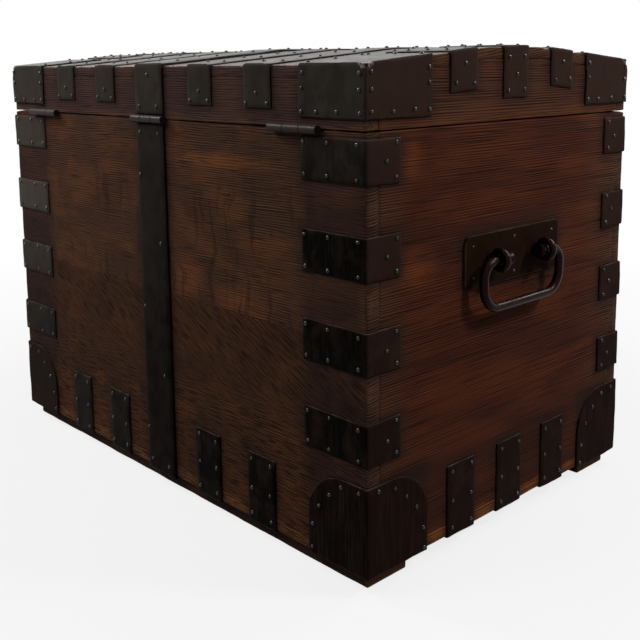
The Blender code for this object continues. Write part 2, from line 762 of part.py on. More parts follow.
def build_bail(name, side):
    """A round bar bent to a drop handle, its ends headed over inside the eyes."""
    half = BAIL_WIDTH / 2
    head_root = EYE_SPACING / 2 - EYE_ROD - BAIL_PLAY
    head_tip = head_root - BAIL_HEAD_LENGTH
    turns = [(half, 0), (half, -BAIL_DROP), (-half, -BAIL_DROP), (-half, 0)]
    radii = (BAIL_SHOULDER, BAIL_CORNER, BAIL_CORNER, BAIL_SHOULDER)
    bar = rounded_path([(head_root, 0), *turns, (-head_root, 0)], radii)
    points = [Vector((head_tip, 0)), *bar, Vector((-head_tip, 0))]
    curve = poly_curve(name, "3D", [(0.0, y, z) for y, z in points], False)
    curve.bevel_depth = BAIL_ROD
    curve.bevel_resolution = ROD_SIDES // 2 - 2
    curve.use_fill_caps = True
    for end in (0, -1):
        curve.splines[0].points[end].radius = BAIL_HEAD_RADIUS / BAIL_ROD
    mesh = curve_to_mesh(name, curve)
    mesh.shade_smooth()
    add_piece(name, mesh, WORN_IRON, (side * BAIL_X, 0, PLATE_Z))


def build_lock(pivot, front_panel, front_rail):
    """A box lock in the front board, its sliding bolt, and the link plate under the lid."""
    half = LOCK_LENGTH / 2
    low_y = -DEPTH / 2 + LOCK_COVER
    bottom = CARCASE_TOP - LOCK_HEIGHT
    size, centre = box_between((-half, low_y, bottom), (half, low_y + LOCK_THICKNESS, CARCASE_TOP))
    case = add_piece("lock_case", box_mesh("lock_case", size, ARRIS / 2), BLACK_IRON, centre)
    low = (-half - SEAT, low_y - SEAT, bottom - SEAT)
    high = (half + SEAT, -DEPTH / 2 + BOARD + CUT_OVERRUN, CARCASE_TOP + CUT_OVERRUN)
    cut(front_panel, cutter_box("lock_mortise", low, high))
    build_bolt(case)
    build_link_plate(pivot, case, front_rail)
    build_keyhole(case, front_panel)


def build_bolt(case):
    """The bolt, drawn back at rest, in a channel that lets it through the link's eye."""
    bolt_size = (BOLT_LENGTH, BOLT_WIDTH, BOLT_HEIGHT)
    bolt_at = (BOLT_TIP_X + BOLT_LENGTH / 2, LINK_EYE_Y, BOLT_Z)
    add_piece("lock_bolt", box_mesh("lock_bolt", bolt_size, ARRIS / 2), WORN_IRON, bolt_at)
    half_y = BOLT_WIDTH / 2 + BOLT_PLAY
    half_z = BOLT_HEIGHT / 2 + BOLT_PLAY
    low = (BOLT_TIP_X - BOLT_THROW - BOLT_PLAY, LINK_EYE_Y - half_y, BOLT_Z - half_z)
    high = (BOLT_TIP_X + BOLT_LENGTH + BOLT_PLAY, LINK_EYE_Y + half_y, BOLT_Z + half_z)
    cut(case, cutter_box("bolt_channel", low, high))


def build_link_plate(pivot, case, front_rail):
    """The plate under the lid's front rail, with an eye that drops into the lock."""
    half_x = LINK_PLATE_LENGTH / 2
    half_y = LINK_PLATE_WIDTH / 2
    top = LID_BOTTOM + LINK_PLATE
    size, centre = box_between(
        (-half_x, LINK_EYE_Y - half_y, LID_BOTTOM), (half_x, LINK_EYE_Y + half_y, top)
    )
    plate = add_piece("lock_link_plate", box_mesh("lock_link_plate", size), BLACK_IRON, centre, pivot)
    low = (-half_x - SEAT, LINK_EYE_Y - half_y - SEAT, LID_BOTTOM - CUT_OVERRUN)
    high = (half_x + SEAT, LINK_EYE_Y + half_y + SEAT, top + SEAT)
    cut(front_rail, cutter_box("link_plate_bed", low, high))
    eye_half_x = LINK_EYE_THICKNESS / 2
    eye_half_y = LINK_EYE_WIDTH / 2
    foot = LID_BOTTOM - LINK_EYE_DROP
    low = (LINK_EYE_X - eye_half_x, LINK_EYE_Y - eye_half_y, foot)
    high = (LINK_EYE_X + eye_half_x, LINK_EYE_Y + eye_half_y, top - LINK_PLATE / 2)
    fuse(plate, cutter_box("link_eye", low, high))
    hole_y = eye_half_y - LINK_EYE_WALL
    hole_z = BOLT_HEIGHT / 2 + LINK_EYE_PLAY
    low = (LINK_EYE_X - CUT_OVERRUN, LINK_EYE_Y - hole_y, BOLT_Z - hole_z)
    high = (LINK_EYE_X + CUT_OVERRUN, LINK_EYE_Y + hole_y, BOLT_Z + hole_z)
    cut(plate, cutter_box("link_eye_hole", low, high))
    play = LINK_EYE_PLAY
    low = (LINK_EYE_X - eye_half_x - play, LINK_EYE_Y - eye_half_y - play, foot - play)
    high = (LINK_EYE_X + eye_half_x + play, LINK_EYE_Y + eye_half_y + play, CARCASE_TOP + CUT_OVERRUN)
    cut(case, cutter_box("link_slot", low, high))


def build_keyhole(case, front_panel):
    """A round hole with a slot under it, through the front board and into the lock."""
    low_y = -DEPTH / 2 - CUT_OVERRUN
    high_y = -DEPTH / 2 + LOCK_COVER + KEY_SOCKET
    mid_y = (low_y + high_y) / 2
    head = rod_mesh("keyhole_head", KEYHOLE_RADIUS, high_y - low_y, (0, 1, 0))
    head_cutter = add_cutter("keyhole_head", head, (0, mid_y, KEYHOLE_Z))
    low = (-KEYHOLE_SLOT / 2, low_y, KEYHOLE_Z - KEYHOLE_LENGTH)
    high = (KEYHOLE_SLOT / 2, high_y, KEYHOLE_Z)
    slot_cutter = cutter_box("keyhole_slot", low, high)
    for piece in (front_panel, case):
        cut(piece, head_cutter)
        cut(piece, slot_cutter)


clear_scene()
lid_pivot = add_pivot("lid_axis", (0, HINGE_Y, JOINT_Z))
panels = build_long_panels()
build_end_panel("left_end_panel", -1)
build_end_panel("right_end_panel", 1)
build_bottom()
build_corner_straps()
build_corner_shoes()
build_bottom_bands()
rails = build_lid_boards(lid_pivot)
build_lid_corners(lid_pivot)
build_lid_bands(lid_pivot)
build_centre_hinge(lid_pivot)
build_side_hinges(lid_pivot, panels["back_panel"], rails["lid_back_rail"])
build_handle(-1, "left")
build_handle(1, "right")
build_lock(lid_pivot, panels["front_panel"], rails["lid_front_rail"])
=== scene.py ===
import math

import bmesh
import bpy
import numpy as np
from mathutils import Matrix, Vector, noise


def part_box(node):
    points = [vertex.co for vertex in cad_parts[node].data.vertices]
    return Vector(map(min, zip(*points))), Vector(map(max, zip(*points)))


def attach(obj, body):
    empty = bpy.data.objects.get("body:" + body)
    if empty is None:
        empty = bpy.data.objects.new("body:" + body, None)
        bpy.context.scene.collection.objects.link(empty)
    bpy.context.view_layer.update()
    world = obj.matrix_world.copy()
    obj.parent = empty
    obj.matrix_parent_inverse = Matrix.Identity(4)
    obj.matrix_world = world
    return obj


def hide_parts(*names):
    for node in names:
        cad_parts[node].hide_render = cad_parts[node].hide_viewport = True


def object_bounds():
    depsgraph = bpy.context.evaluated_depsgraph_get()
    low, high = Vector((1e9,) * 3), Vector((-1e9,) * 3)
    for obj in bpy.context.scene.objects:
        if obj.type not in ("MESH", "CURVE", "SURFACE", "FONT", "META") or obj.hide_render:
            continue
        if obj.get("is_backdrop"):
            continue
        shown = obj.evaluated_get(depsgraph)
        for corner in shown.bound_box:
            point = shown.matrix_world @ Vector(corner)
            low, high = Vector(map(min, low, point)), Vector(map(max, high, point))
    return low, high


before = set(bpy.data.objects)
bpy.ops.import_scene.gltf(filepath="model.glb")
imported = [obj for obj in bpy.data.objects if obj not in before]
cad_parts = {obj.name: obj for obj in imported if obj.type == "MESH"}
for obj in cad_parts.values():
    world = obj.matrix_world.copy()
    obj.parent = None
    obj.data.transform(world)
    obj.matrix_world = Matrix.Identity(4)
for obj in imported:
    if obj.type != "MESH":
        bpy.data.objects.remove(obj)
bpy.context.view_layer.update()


# Carcase walls
# Four oak walls nailed at the corners, the long ones lapping the ends, each glued up from two boards.
# Their faces have dried into low ridges along the grain, and the irons have left a dark bloom on them.

LONG_SEAM = 0.272
END_SEAM = 0.354
END_STRAP_Y = (-0.094, 0.0, 0.094)
END_STRAP_WIDTH = 0.050
END_STRAP_TOP = 0.106
EDGE_ROUND = 0.0014
EDGE_CROWD = 1.35
RUB_PITCH = (23, 23, 23)
RIDGE_DEPTH = 0.00010
RIDGE_ROW = 0.0014
RIDGES_ALONG_X = [5.0, 9.0, 330.0]
RIDGES_ALONG_Y = [9.0, 5.0, 330.0]
FACE_X = [1.0, 0.0, 0.0]
FACE_Y = [0.0, 1.0, 0.0]
FACE_Z = [0.0, 0.0, 1.0]
FIBRE_GAP = 0.0030
BARE_EDGE = 0.012
BARE_STRAY = 0.008
BARE_FADE = 0.0022
DRY_REACH = (0.055, 0.085)
BLOOM_REACH = 0.020
KNOCK_REACH = 0.012
KNOCK_DEPTH = 0.0016
FACE_SKIN = 0.001
OUTER_SKIN = 0.004
SEAT = 0.0003
KEYHOLE_Z = 0.4605
KEYHOLE_RADIUS = 0.004
KEYHOLE_SLOT = 0.0045
KEYHOLE_LENGTH = 0.013
KEYHOLE_DEPTH = 0.020
CUT_PAST = 0.01
ENDS = (("left", -1), ("right", 1))

wall_low, wall_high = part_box("back_panel")
CARCASE_BOTTOM, CARCASE_TOP = wall_low.z, wall_high.z
HALF_LENGTH, HALF_DEPTH = wall_high.x, wall_high.y
BOARD = wall_high.y - wall_low.y
LID_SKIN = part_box("lid_top")[0].z + 0.006


def add_node(tree, kind, inputs=None, **settings):
    """Adds a node to a tree, sets its options, then links or sets the inputs named."""
    node = tree.nodes.new(kind)
    for option, value in settings.items():
        setattr(node, option, value)
    for socket, value in (inputs or {}).items():
        if isinstance(value, bpy.types.NodeSocket):
            tree.links.new(value, node.inputs[socket])
        else:
            node.inputs[socket].default_value = value
    return node


def tree_of(*values):
    """The node tree that the linked ones among these values belong to."""
    return next(value.id_data for value in values if isinstance(value, bpy.types.NodeSocket))


def calc(operation, *values):
    """One step of arithmetic on single numbers."""
    values_by_socket = dict(enumerate(values))
    return add_node(tree_of(*values), "ShaderNodeMath", values_by_socket, operation=operation).outputs[0]


def times(first, second):
    """One value times another."""
    return calc("MULTIPLY", first, second)


def times_plus(first, second, third):
    """One value times another, plus a third."""
    return calc("MULTIPLY_ADD", first, second, third)


def by_share(value, mark, slope, start):
    """A value times a share, which grows with a mark from its start by its slope."""
    return times(value, times_plus(mark, slope, start))


def vector_calc(operation, *values):
    """One step of arithmetic on vectors."""
    values_by_socket = dict(enumerate(values))
    node = add_node(tree_of(*values), "ShaderNodeVectorMath", values_by_socket, operation=operation)
    return node.outputs[1 if operation == "DOT_PRODUCT" else 0]


def level(value, low, high):
    """Spreads the part of a value between two levels over nought to one, softly."""
    levels = {"Value": value, "From Min": low, "From Max": high}
    return add_node(tree_of(value), "ShaderNodeMapRange", levels, interpolation_type="SMOOTHSTEP").outputs[0]


def stretched(place, pitch, low, high, detail=3.0, twist=0.0):
    """Cloudy noise with so many marks a metre along each axis, spread between two levels."""
    marks = {"Vector": vector_calc("MULTIPLY", place, pitch), "Scale": 1.0, "Detail": detail}
    cloud = add_node(tree_of(place), "ShaderNodeTexNoise", {**marks, "Distortion": twist}).outputs[0]
    return level(cloud, low, high)


def new_tree(name, kind, inputs, outputs):
    """A node group with named sockets: the group, its inputs' identifiers, and its two ends."""
    tree = bpy.data.node_groups.new(name, kind)
    for label, socket in outputs.items():
        tree.interface.new_socket(label, in_out="OUTPUT", socket_type="NodeSocket" + socket)
    names = {}
    for label, socket in inputs.items():
        made = tree.interface.new_socket(label, in_out="INPUT", socket_type="NodeSocket" + socket)
        names[label] = made.identifier
    return tree, names, tree.nodes.new("NodeGroupInput").outputs, tree.nodes.new("NodeGroupOutput").inputs


def plant_block_tree():
    """A block with eased edges and ridged faces: a board as it is, or the outside of a folded iron."""
    sockets = {"Mesh": "Geometry", "Size": "Vector", "Middle": "Vector", "Columns": "Int", "Layers": "Int"}
    sockets.update({"Rows": "Int", "Round": "Float", "Eased Low": "Vector", "Eased High": "Vector"})
    sockets.update({"Face": "Vector", "Ridge Depth": "Float", "Ridge Pitch": "Vector", "Finish": "Material"})
    tree, names, given, out = new_tree("eased_block", "GeometryNodeTree", sockets, {"Mesh": "Geometry"})
    tree.is_modifier = True
    ones, halves, noughts = (1, 1, 1), (0.5, 0.5, 0.5), (0, 0, 0)
    counts = {"Vertices X": given["Columns"], "Vertices Y": given["Layers"], "Vertices Z": given["Rows"]}
    sawn = add_node(tree, "GeometryNodeMeshCube", {"Size": given["Size"], **counts}).outputs["Mesh"]
    half = vector_calc("MULTIPLY", given["Size"], halves)
    share = vector_calc("DIVIDE", tree.nodes.new("GeometryNodeInputPosition").outputs[0], half)
    side = vector_calc("SIGN", share)
    inset = vector_calc("SUBTRACT", ones, vector_calc("ABSOLUTE", share))
    inset = vector_calc("POWER", vector_calc("MAXIMUM", inset, noughts), (EDGE_CROWD,) * 3)
    crowded = vector_calc("MULTIPLY", half, vector_calc("SUBTRACT", ones, inset))
    upper = vector_calc("MULTIPLY_ADD", side, halves, halves)
    lower = vector_calc("SUBTRACT", ones, upper)
    ease = vector_calc("MULTIPLY", lower, given["Eased Low"])
    ease = vector_calc("MULTIPLY_ADD", upper, given["Eased High"], ease)
    place = vector_calc("MULTIPLY_ADD", crowded, side, given["Middle"])
    rubbed = stretched(place, RUB_PITCH, 0.3, 0.7)
    rubbed = by_share(given["Round"], rubbed, 0.9, 0.55)
    radius = vector_calc("MAXIMUM", vector_calc("MULTIPLY", ease, rubbed), (1e-6,) * 3)
    core = vector_calc("MINIMUM", crowded, vector_calc("SUBTRACT", half, radius))
    lean = vector_calc("DIVIDE", vector_calc("SUBTRACT", crowded, core), radius)
    lean = vector_calc("MULTIPLY", vector_calc("NORMALIZE", lean), radius)
    eased = vector_calc("MULTIPLY", vector_calc("ADD", core, lean), side)
    eased = vector_calc("ADD", eased, given["Middle"])
    ridge = stretched(place, given["Ridge Pitch"], 0.38, 0.66)
    facing = vector_calc("DOT_PRODUCT", share, given["Face"])
    on_face = calc("GREATER_THAN", calc("ABSOLUTE", facing), 0.999)
    sink = times(times(ridge, given["Ridge Depth"]), on_face)
    sink = times(sink, times(calc("SIGN", facing), -1.0))
    marked = {"Geometry": sawn, "Name": "ridge", "Value": times(ridge, on_face)}
    marked = add_node(tree, "GeometryNodeStoreNamedAttribute", marked, data_type="FLOAT", domain="POINT")
    moved = {"Geometry": marked.outputs[0], "Position": eased}
    moved["Offset"] = vector_calc("MULTIPLY", given["Face"], sink)
    moved = add_node(tree, "GeometryNodeSetPosition", moved).outputs[0]
    done = add_node(tree, "GeometryNodeSetMaterial", {"Geometry": moved, "Material": given["Finish"]})
    tree.links.new(done.outputs[0], out[0])
    return tree, names


def put(name, data):
    """A new object made of this data, in the scene."""
    made = bpy.data.objects.new(name, data)
    bpy.context.scene.collection.objects.link(made)
    return made


def plain_mesh(maker):
    """What an object looks like with its modifiers, as a mesh of its own."""
    return bpy.data.meshes.new_from_object(maker.evaluated_get(bpy.context.evaluated_depsgraph_get()))


def grow(tree, names, values, seedbed=None):
    """Runs a node tree with its named inputs set, and hands back what it makes as a plain mesh."""
    carrier = put("carrier", seedbed or bpy.data.meshes.new("carrier"))
    maker = carrier.modifiers.new("maker", "NODES")
    maker.node_group = tree
    for label, value in values.items():
        maker[names[label]] = value
    mesh = plain_mesh(carrier)
    while mesh.materials and mesh.materials[0] is None:
        mesh.materials.pop(index=0)
    carrier.modifiers.remove(maker)
    bpy.data.objects.remove(carrier)
    return mesh


block_tree, block_inputs = plant_block_tree()


def block_mesh(low, high, cells, eased_low, eased_high, finish, edge=EDGE_ROUND, face=None, pitch=None):
    """A block between two corners, cut into so many cells along each axis."""
    low, high = Vector(low), Vector(high)
    values = {"Size": list(high - low), "Middle": list((low + high) / 2), "Round": edge}
    values.update({"Columns": cells[0] + 1, "Layers": cells[1] + 1, "Rows": cells[2] + 1})
    values.update({"Eased Low": list(map(float, eased_low)), "Eased High": list(map(float, eased_high))})
    values.update({"Face": face or [0.0] * 3, "Ridge Pitch": pitch or [1.0] * 3, "Finish": finish})
    values["Ridge Depth"] = RIDGE_DEPTH if face else 0.0
    return grow(block_tree, block_inputs, values)


def tint(share, first, second):
    """Lays a second colour over a first, by a share."""
    colours = {0: share, 6: first, 7: second}
    return add_node(tree_of(share), "ShaderNodeMix", colours, data_type="RGBA").outputs[2]


def strayed(place, axis, pitch, far):
    """A place moved to and fro along one axis, no further than this, by slow noise."""
    stray = times(stretched(place, pitch, 0.0, 1.0, 2.0), far)
    stray = add_node(tree_of(place), "ShaderNodeCombineXYZ", {axis: stray}).outputs[0]
    return vector_calc("ADD", place, stray)


def plant_oak_figure():
    """The marks of oak with its grain along x: combed fibre, pores, strokes, bands, clouds and rays."""
    outputs = dict.fromkeys(("Fibre", "Pores", "Strokes", "Bands", "Clouds", "Rays"), "Float")
    tree, _, given, out = new_tree("oak_figure", "ShaderNodeTree", {"Place": "Vector"}, outputs)
    place = strayed(given["Place"], "Z", (2.2, 2.2, 3.0), 0.008)
    rays = strayed(given["Place"], "X", (9, 9, 24), 0.022)
    across = vector_calc("DOT_PRODUCT", place, (0, 1, 1))
    waver = times(stretched(place, (6, 70, 70), 0.2, 0.8, 3.0), 6.0)
    combed = calc("SINE", times_plus(across, math.tau / FIBRE_GAP, waver))
    strength = stretched(place, (26, 60, 90), 0.35, 0.65, 2.0)
    strength = times_plus(strength, 0.44, 0.15)
    marks = {
        "Fibre": times_plus(combed, strength, 0.5),
        "Pores": stretched(place, (22, 420, 760), 0.56, 0.66, 1.0),
        "Strokes": stretched(place, (36, 380, 640), 0.46, 0.60, 1.0),
        "Bands": stretched(place, (7, 12, 30), 0.36, 0.66, 4.0, 0.6),
        "Clouds": stretched(place, (13, 13, 23), 0.42, 0.66, 4.0, 0.4),
        "Rays": stretched(rays, (85, 85, 11), 0.57, 0.67, 2.0),
    }
    for label, mark in marks.items():
        tree.links.new(mark, out[label])
    return tree


oak_figure = plant_oak_figure()


def oak_marks(tree, place, turn, draw):
    """The marks of oak with its grain turned this way and drawn out this much."""
    turned = add_node(tree, "ShaderNodeMapping", {"Vector": place, "Rotation": turn}).outputs[0]
    turned = vector_calc("MULTIPLY", turned, (1 / draw, 1, 1))
    return add_node(tree, "ShaderNodeGroup", {"Place": turned}, node_tree=oak_figure).outputs


def painted(tree, label):
    """What a piece has painted on its points under this name."""
    return add_node(tree, "ShaderNodeAttribute", attribute_name=label).outputs["Fac"]


def start_finish(name):
    """A new finish: its material, node tree and shader, and the place of each point on the piece."""
    material = bpy.data.materials.new(name)
    material.use_nodes = True
    tree = material.node_tree
    place = add_node(tree, "ShaderNodeTexCoord").outputs["Object"]
    return material, tree, tree.nodes["Principled BSDF"], place


def close_finish(tree, shader, colour, dull, rough, relief, gloss):
    """Gives a finish its colour, its gloss, a roughness between two by how dull it is, and its relief."""
    tree.links.new(colour, shader.inputs["Base Color"])
    dull = add_node(tree, "ShaderNodeMapRange", {"Value": dull, "To Min": rough[0], "To Max": rough[1]})
    tree.links.new(dull.outputs[0], shader.inputs["Roughness"])
    height, strength, depth = relief
    bump = add_node(tree, "ShaderNodeBump", {"Height": height, "Strength": strength, "Distance": depth})
    tree.links.new(bump.outputs[0], shader.inputs["Normal"])
    shader.inputs["Specular IOR Level"].default_value = gloss


def oak(name, turn, tones, gloss=0.012, rays=0.0, slant=None, rough=(0.74, 0.52), draw=1.0):
    """Oak finished dark; turn lays its grain along an axis, draw lengthens it, slant tips its upper part."""
    material, tree, shader, place = start_finish(name)
    height = add_node(tree, "ShaderNodeSeparateXYZ", {"Vector": place}).outputs["Z"]
    marks = dict(oak_marks(tree, place, turn, draw).items())
    if slant:
        tilt, low, high = slant
        steep = level(height, low, high)
        tipped = oak_marks(tree, place, (turn[0], turn[1] + tilt, turn[2]), draw)
        marks["Pores"] = marks["Strokes"]
        for label, tipped_label in (("Fibre", "Fibre"), ("Pores", "Strokes"), ("Bands", "Bands")):
            sockets = {0: steep, 2: marks[label], 3: tipped[tipped_label]}
            marks[label] = add_node(tree, "ShaderNodeMix", sockets, data_type="FLOAT").outputs[0]
    fibre, dry = marks["Fibre"], painted(tree, "dry")
    colour = tint(fibre, tones["deep"], tones["body"])
    colour = tint(times(marks["Bands"], 0.5), colour, tones["band"])
    glow = times_plus(marks["Clouds"], 0.5, painted(tree, "glow"))
    glow = calc("MINIMUM", by_share(glow, fibre, 0.6, 0.4), 1.0)
    colour = tint(glow, colour, tones["warm"])
    flecks = by_share(marks["Rays"], level(height, 0.47, 0.36), 0.8, 0.2)
    colour = tint(times(flecks, rays), colour, tones["pore"])
    colour = tint(by_share(painted(tree, "wear"), fibre, 0.7, 0.3), colour, tones["raw"])
    colour = tint(by_share(dry, fibre, 0.8, 0.2), colour, tones["dry"])
    # The stain colour lays the iron's bloom on walls and lid, and painted shade on the runners' outer sides.
    stained_and_shaded = by_share(painted(tree, "stain"), marks["Bands"], 0.3, 0.6)
    colour = tint(stained_and_shaded, colour, tones["stain"])
    hollow = calc("MAXIMUM", marks["Pores"], times(painted(tree, "ridge"), 0.16))
    hollow = times(hollow, 0.86 if slant else 0.66)
    opened = times(times(dry, 0.8), level(fibre, 0.46, 0.20))
    colour = tint(calc("MAXIMUM", hollow, opened), colour, tones["pore"])
    relief = calc("SUBTRACT", times(fibre, 0.5), marks["Pores"])
    close_finish(tree, shader, colour, fibre, rough, (relief, 0.7, 0.0007), gloss)
    return material


ALONG_X = (0.0, 0.0, 0.0)
ALONG_Y = (0.0, 0.0, -math.pi / 2)
INTO_END = (math.radians(7), 0.0, -math.pi / 2)
DARK_OAK = {
    "deep": (0.0095, 0.0046, 0.0031, 1),
    "body": (0.0575, 0.0262, 0.0150, 1),
    "band": (0.0280, 0.0146, 0.0086, 1),
    "warm": (0.0900, 0.0330, 0.0120, 1),
    "pore": (0.0070, 0.0034, 0.0024, 1),
    "stain": (0.0150, 0.0078, 0.0070, 1),
    "raw": (0.1150, 0.0560, 0.0250, 1),
    "dry": (0.0600, 0.0290, 0.0165, 1),
}
LOWER_OAK = {
    **DARK_OAK,
    "deep": (0.0100, 0.0046, 0.0026, 1),
    "body": (0.0580, 0.0250, 0.0125, 1),
    "band": (0.0240, 0.0116, 0.0064, 1),
    "warm": (0.0680, 0.0240, 0.0080, 1),
    "raw": (0.1000, 0.0430, 0.0160, 1),
}
RED_OAK = {
    **DARK_OAK,
    "deep": (0.0100, 0.0032, 0.0022, 1),
    "body": (0.0560, 0.0152, 0.0080, 1),
    "band": (0.0250, 0.0078, 0.0052, 1),
    "warm": (0.0900, 0.0240, 0.0072, 1),
    "pore": (0.0070, 0.0024, 0.0016, 1),
    "raw": (0.1750, 0.0600, 0.0170, 1),
}
BARE_OAK = {
    "deep": (0.085, 0.045, 0.022, 1),
    "body": (0.175, 0.104, 0.055, 1),
    "band": (0.125, 0.070, 0.035, 1),
    "warm": (0.165, 0.092, 0.044, 1),
    "pore": (0.055, 0.029, 0.015, 1),
    "stain": (0.060, 0.042, 0.036, 1),
    "raw": (0.200, 0.125, 0.070, 1),
    "dry": (0.190, 0.120, 0.068, 1),
}
oak_upper = oak("oak_upper_board", ALONG_X, DARK_OAK, rays=0.46)
oak_lower = oak("oak_lower_board", ALONG_X, LOWER_OAK, slant=(math.radians(26), 0.13, 0.22))
oak_end = oak("oak_end_wall", ALONG_Y, RED_OAK, draw=2.6)
oak_end_grain = oak("oak_end_grain", INTO_END, {**DARK_OAK, "body": (0.060, 0.026, 0.0145, 1)})
oak_inside = oak("oak_inside", ALONG_X, BARE_OAK, rough=(0.85, 0.66))
oak_inside_end = oak("oak_inside_end", ALONG_Y, BARE_OAK, rough=(0.85, 0.66))
END_GRAIN = (((1, 0, 0), oak_end_grain), ((-1, 0, 0), oak_end_grain))


def points_of(mesh):
    """The places of a mesh's points, one row for each."""
    places = np.empty(len(mesh.vertices) * 3, np.float32)
    mesh.vertices.foreach_get("co", places)
    return places.reshape(-1, 3).astype(float)


def move_points(mesh, places):
    """Puts a mesh's points in new places."""
    mesh.vertices.foreach_set("co", places.astype(np.float32).ravel())


def finish_board(mesh, marks, sides=()):
    """Paints each mark on a board's points by its own rule, and gives the sides named their own finish."""
    places = points_of(mesh)
    for label, rule in marks.items():
        layer = mesh.attributes.new(label, "FLOAT", "POINT")
        layer.data.foreach_set("value", np.asarray(rule(places), np.float32))
    normals = np.empty(len(mesh.polygons) * 3, np.float32)
    mesh.polygons.foreach_get("normal", normals)
    finishes = np.zeros(len(mesh.polygons), np.int32)
    for way, finish in sides:
        mesh.materials.append(finish)
        finishes[normals.reshape(-1, 3) @ np.array(way, float) > 0.7] = len(mesh.materials) - 1
    mesh.polygons.foreach_set("material_index", finishes)
    return mesh


def cast(name, shape, *finishes):
    """A mesh with these finishes from a shape that is done with."""
    mesh = bpy.data.meshes.new(name)
    shape.to_mesh(mesh)
    shape.free()
    for finish in finishes:
        mesh.materials.append(finish)
    return mesh


def smoothed(mesh, crease):
    """Smooths a mesh, but keeps the edges that turn more than this many degrees."""
    mesh.shade_smooth()
    mesh.set_sharp_from_angle(angle=math.radians(crease))
    return mesh


def join(name, meshes):
    """One mesh from several, each keeping its own finishes."""
    joined = bmesh.new()
    materials = []
    for mesh in meshes:
        start = len(joined.faces)
        joined.from_mesh(mesh)
        joined.faces.ensure_lookup_table()
        slots = []
        for material in mesh.materials:
            if material not in materials:
                materials.append(material)
            slots.append(materials.index(material))
        for face in joined.faces[start:]:
            face.material_index = slots[face.material_index]
        bpy.data.meshes.remove(mesh)
    return smoothed(cast(name, joined, *materials), 42)


def add_piece(name, mesh, body, nodes):
    """Puts a finished mesh into the scene on its body, in place of its solids."""
    mesh.name = name
    piece = put(name, mesh)
    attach(piece, body)
    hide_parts(*nodes)


def ramp(values, start, end):
    """Nought at the start, one at the end, straight between them and level beyond."""
    return np.clip((values - start) / (end - start), 0, 1)


def patches(places, pitch):
    """Slow patches over a surface, from nought to one, so many a metre."""
    return np.array([0.5 + 0.5 * noise.noise(Vector(place) * pitch) for place in places])


def spread(places, middle, size):
    """A soft patch: one at its middle, nought at its edge."""
    gap = np.linalg.norm((places - np.array(middle)) / np.array(size), axis=1)
    return np.clip(1 - gap, 0, 1)


def nearness(places, boxes, reach):
    """How near each point lies to any of the boxes: one at a box, nought at this reach from it."""
    near = np.zeros(len(places))
    for low, high in boxes:
        gap = np.maximum(np.maximum(np.array(low) - places, places - np.array(high)), 0)
        near = np.maximum(near, 1 - np.linalg.norm(gap, axis=1) / reach)
    return near


def corner_gap(places):
    """How far each point lies from the chest's nearest upright corner."""
    return np.hypot(HALF_LENGTH - abs(places[:, 0]), HALF_DEPTH - abs(places[:, 1]))


def on_ends(places):
    """Which points lie on the outer faces of the ends."""
    return abs(places[:, 0]) > HALF_LENGTH - FACE_SKIN


def wall_wear(places):
    """Rubbed bare along the bottom edge, at the corners and along the joint."""
    height, gap = places[:, 2], corner_gap(places)
    edge = CARCASE_BOTTOM + BARE_EDGE + BARE_STRAY * patches(places, 70)
    foot = ramp(height, edge, edge - BARE_FADE)
    corner = ramp(gap, 0.012, 0.0) * ramp(height, 0.40, 0.32)
    joint = ramp(height, CARCASE_TOP - 0.010, CARCASE_TOP - 0.004) * ramp(gap, 0.12, 0.02)
    heel = on_ends(places) * ramp(HALF_DEPTH - abs(places[:, 1]), 0.039, 0.009) * ramp(height, 0.20, 0.15)
    worn = np.max([foot, corner, 0.3 * heel, 0.45 * joint], axis=0)
    return np.clip(worn * (0.45 + patches(places, 31)), 0, 1)


def wall_dry(places):
    """The ends' grain is dry and open towards their corners, further in at one than at the other."""
    gap = HALF_DEPTH - abs(places[:, 1])
    reach = np.where(places[:, 1] * places[:, 0] < 0, *DRY_REACH)
    return on_ends(places) * np.clip((1.3 - gap / reach) * (0.45 + 0.9 * patches(places, 23)), 0, 1)


def iron_stain(irons):
    """The dark bloom that iron leaves on the outside of oak, close around these irons."""
    def stain(places):
        outside = abs(places[:, 0]) > HALF_LENGTH - OUTER_SKIN
        outside |= abs(places[:, 1]) > HALF_DEPTH - OUTER_SKIN
        outside |= places[:, 2] > LID_SKIN
        return outside * nearness(places, irons, BLOOM_REACH) ** 1.5
    return stain


def corner_stain(irons):
    """The same bloom, spread over the long walls between the corner irons, and dark up the corner itself."""
    close = iron_stain(irons)

    def stain(places):
        on_face = abs(places[:, 1]) > HALF_DEPTH - FACE_SKIN
        column = on_face * ramp(abs(places[:, 0]), HALF_LENGTH - 0.104, HALF_LENGTH - 0.090)
        column = 1.1 * column * (0.6 + 0.6 * patches(places, 17))
        arris = ramp(corner_gap(places), 0.0032, 0.0012) * ramp(places[:, 2], 0.34, 0.39)
        return np.clip(np.max([close(places), column, arris], axis=0), 0, 1)
    return stain


def end_stain(irons):
    """The same bloom close round the irons, and the end walls darker in patches low down between the irons,
    above the bare edge.
    """
    close = iron_stain(irons)

    def stain(places):
        low_down = ramp(places[:, 2], 0.165, 0.105) * ramp(places[:, 2], 0.030, 0.042)
        return np.maximum(close(places), on_ends(places) * low_down * (0.15 + 0.75 * patches(places, 13)))
    return stain


